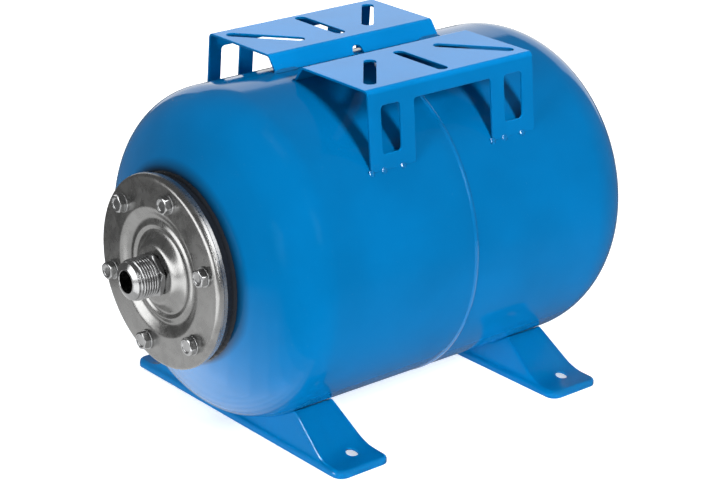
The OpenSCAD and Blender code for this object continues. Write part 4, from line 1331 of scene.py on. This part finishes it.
def studio_lights():
    """Soft lights, and cards that show only in reflections."""
    shells = gathered("Shells", lambda n: "shell" in n)
    feet = gathered("Feet", lambda n: "foot" in n)
    raised = gathered("Raised", lambda n: "foot" not in n)
    trim = gathered("Trim", lambda n: "shell" not in n and "foot" not in n)
    welds = gathered("Welds", lambda n: "bracket_welds" in n)
    metal = gathered("Metal", lambda n: n.split("_")[0] in ("flange", "connector"))
    platform = gathered("Platform", lambda n: n in ("right_bracket_look", "left_bracket_look"))
    key, top, back = (0.0, -1.8, 1.1), (0.0, -0.2, 2.2), (1.35, 1.35, 0.6)
    lights = [
        softbox("Key light", key, (0.35, 0.7), 38),
        softbox("Left light", (-1.9, -0.6, 0.35), (0.5, 0.6), 32),
        softbox("Top light", top, (0.5, 0.9), 11),
        softbox("Platform light", top, (0.5, 0.9), 41, "light", platform),
        softbox("Back light", back, (2.4, 1.2), 9, "both", raised, (0, 0, 0.25)),
        softbox("Back foot light", back, (2.4, 1.2), 9, "light", feet, (0, 0, 0.25)),
        softbox("Far light", (0.2, 1.8, 0.8), (0.6, 0.7), 22),
        softbox("Key card", key, (0.35, 0.7), 36, "card", trim),
        softbox("Foot key card", key, (0.35, 0.7), 36, "card", feet),
        softbox("Left card", (-1.9, 0.0, 0.5), (2.6, 0.9), 22, "card", metal),
        floor_card("Low card", -0.75, -0.3, 0.002, (0.7, 0.65), 1.9, metal),
        softbox("Right card", (1.2, -0.8, 1.25), (1.8, 1.3), 26, "card", metal),
        softbox("Foot light", (-1.5, -0.9, 0.4), (0.4, 0.4), 7, "light", feet, (-0.12, -0.1, 0.02)),
        floor_card("Trim card", -0.22, -0.35, 0.001, (1.5, 1.3), 4.2, trim),
        floor_card("Foot card", -0.22, -0.35, 0.001, (1.5, 1.3), 0.3, feet),
        softbox("Crest card", (-1.69, 0.63, 0.6), (0.7, 0.45), 20, "card", feet, (-0.14, -0.09, 0.03)),
        softbox("Weld card", (-0.1, -1.8, 1.1), (1.0, 1.0), 60, "card", welds),
    ]
    count, strength = 8, 1.1
    for i in range(count):
        k = i / (count - 1)
        x0, x1, y0, y1 = -0.58 - 0.14 * k, -0.235 + 0.085 * k, 0.06 - 0.24 * k, 0.24 + 0.1 * k
        w, h = x1 - x0, y1 - y0
        lights.append(floor_card(f"Floor card {i + 1}", (x0 + x1) / 2, (y0 + y1) / 2,
                                 0.001 + 0.0002 * i, (w, h), strength * w * h, shells, 150))
    return lights


def pale_floor(st):
    """The floor, which glows a little and shows in no reflection."""
    s = Shader("Floor")
    tone = s.spread(s.noise(3, 3), 0.3, 0.7)
    colour = s.mix(tone, rgba(st.white, 0.99), rgba(st.white, 1.01))
    corners = ((-0.52, 0.02, 0), (0.06, -0.6, 0), (1.6, 0.6, 0), (0.35, 1.7, 0))
    floor = linked("floor", new_mesh("floor", corners, [(0, 1, 2, 3)]))
    shader = s.add("ShaderNodeBsdfPrincipled", Base_Color=colour)
    floor.data.materials.append(s.finish(shader, Roughness=0.6, Emission_Color=(1, 1, 1, 1),
                                         Emission_Strength=st.glow))
    floor.visible_glossy = False
    return floor


def white_backdrop():
    """A wide shell round the scene that is only seen, and neither lights nor reflects."""
    reach, rows, count = 15.0, 12, 24
    rings = []
    for i in range(rows + 1):
        r, z = reach * math.sin(math.pi * i / rows), reach * math.cos(math.pi * i / rows)
        turns = range(count) if 0 < i < rows else (0,)
        rings.append([Vector((r * math.cos(TAU * k / count), r * math.sin(TAU * k / count), z))
                      for k in turns])
    backdrop = linked("backdrop", new_mesh("backdrop", *skin(rings)))
    s = Shader("Backdrop")
    glow = s.add("ShaderNodeEmission", Color=(1, 1, 1, 1), Strength=1.0)
    backdrop.data.materials.append(s.finish(glow))
    backdrop.visible_diffuse = backdrop.visible_glossy = False
    backdrop.visible_transmission = backdrop.visible_shadow = False
    return backdrop


def placed_camera(st):
    """The camera at the photo's view."""
    data = bpy.data.cameras.new("Camera")
    data.sensor_width, data.sensor_fit, data.lens = 36.0, "HORIZONTAL", st.lens
    data.dof.use_dof = False
    data.clip_start, data.clip_end = 0.05, 50
    a, e, r = st.azimuth, st.elevation, st.roll
    back = Vector((math.sin(a) * math.cos(e), -math.cos(a) * math.cos(e), math.sin(e)))
    right = Vector((math.cos(a), math.sin(a), 0))
    up = back.cross(right)
    x, y = right * math.cos(r) + up * math.sin(r), up * math.cos(r) - right * math.sin(r)
    camera = linked("Camera", data)
    turn = Matrix((x, y, back)).transposed().to_4x4()
    camera.matrix_world = Matrix.Translation(Vector(st.camera_at)) @ turn
    return camera


class TANK_OT_stage(bpy.types.Operator):
    """Build the pale floor, the soft studio light and the camera"""
    bl_idname = "tank.stage"
    bl_label = "Stage"
    bl_options = {"REGISTER", "UNDO"}

    def execute(self, context):
        scene = context.scene
        st = getattr(scene, ON_SCENE + "stage")
        world = scene.world = bpy.data.worlds.new("Surround")
        world.use_nodes = True
        sky = world.node_tree.nodes["Background"].inputs
        sky["Color"].default_value = (1, 1, 1, 1)
        sky["Strength"].default_value = st.world
        scene.camera = camera = placed_camera(st)
        scene.view_settings.view_transform = "Standard"
        pale_floor(st)
        white_backdrop()
        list(studio_lights())
        return {"FINISHED"}


# Panel and start


OPERATORS = (TANK_OT_shells, TANK_OT_seam, TANK_OT_ring, TANK_OT_ring_weld, TANK_OT_plate,
             TANK_OT_connector, TANK_OT_bolts, TANK_OT_feet, TANK_OT_brackets,
             TANK_OT_bracket_welds, TANK_OT_valve, TANK_OT_inside, TANK_OT_stage)


class TANK_PT_panel(bpy.types.Panel):
    """Sizes, looks and building steps of the tank"""
    bl_label = "Tank"
    bl_idname = "TANK_PT_panel"
    bl_space_type = "VIEW_3D"
    bl_region_type = "UI"
    bl_category = "Tank"

    def draw(self, context):
        for key, group in GROUPS.items():
            box = self.layout.box()
            box.label(text=key.capitalize())
            for name in group.__annotations__:
                box.prop(getattr(context.scene, ON_SCENE + key), name)
        for op in OPERATORS:
            self.layout.operator(op.bl_idname)


def register():
    for key, group in GROUPS.items():
        bpy.utils.register_class(group)
        setattr(bpy.types.Scene, ON_SCENE + key, PointerProperty(type=group))
    for item in OPERATORS + (TANK_PT_panel,):
        bpy.utils.register_class(item)


def unregister():
    for item in (TANK_PT_panel,) + OPERATORS[::-1]:
        bpy.utils.unregister_class(item)
    for key, group in GROUPS.items():
        delattr(bpy.types.Scene, ON_SCENE + key)
        bpy.utils.unregister_class(group)


def main():
    register()
    for op in OPERATORS:
        area, name = op.bl_idname.split(".")
        getattr(getattr(bpy.ops, area), name)()


if __name__ == "__main__":
    main()
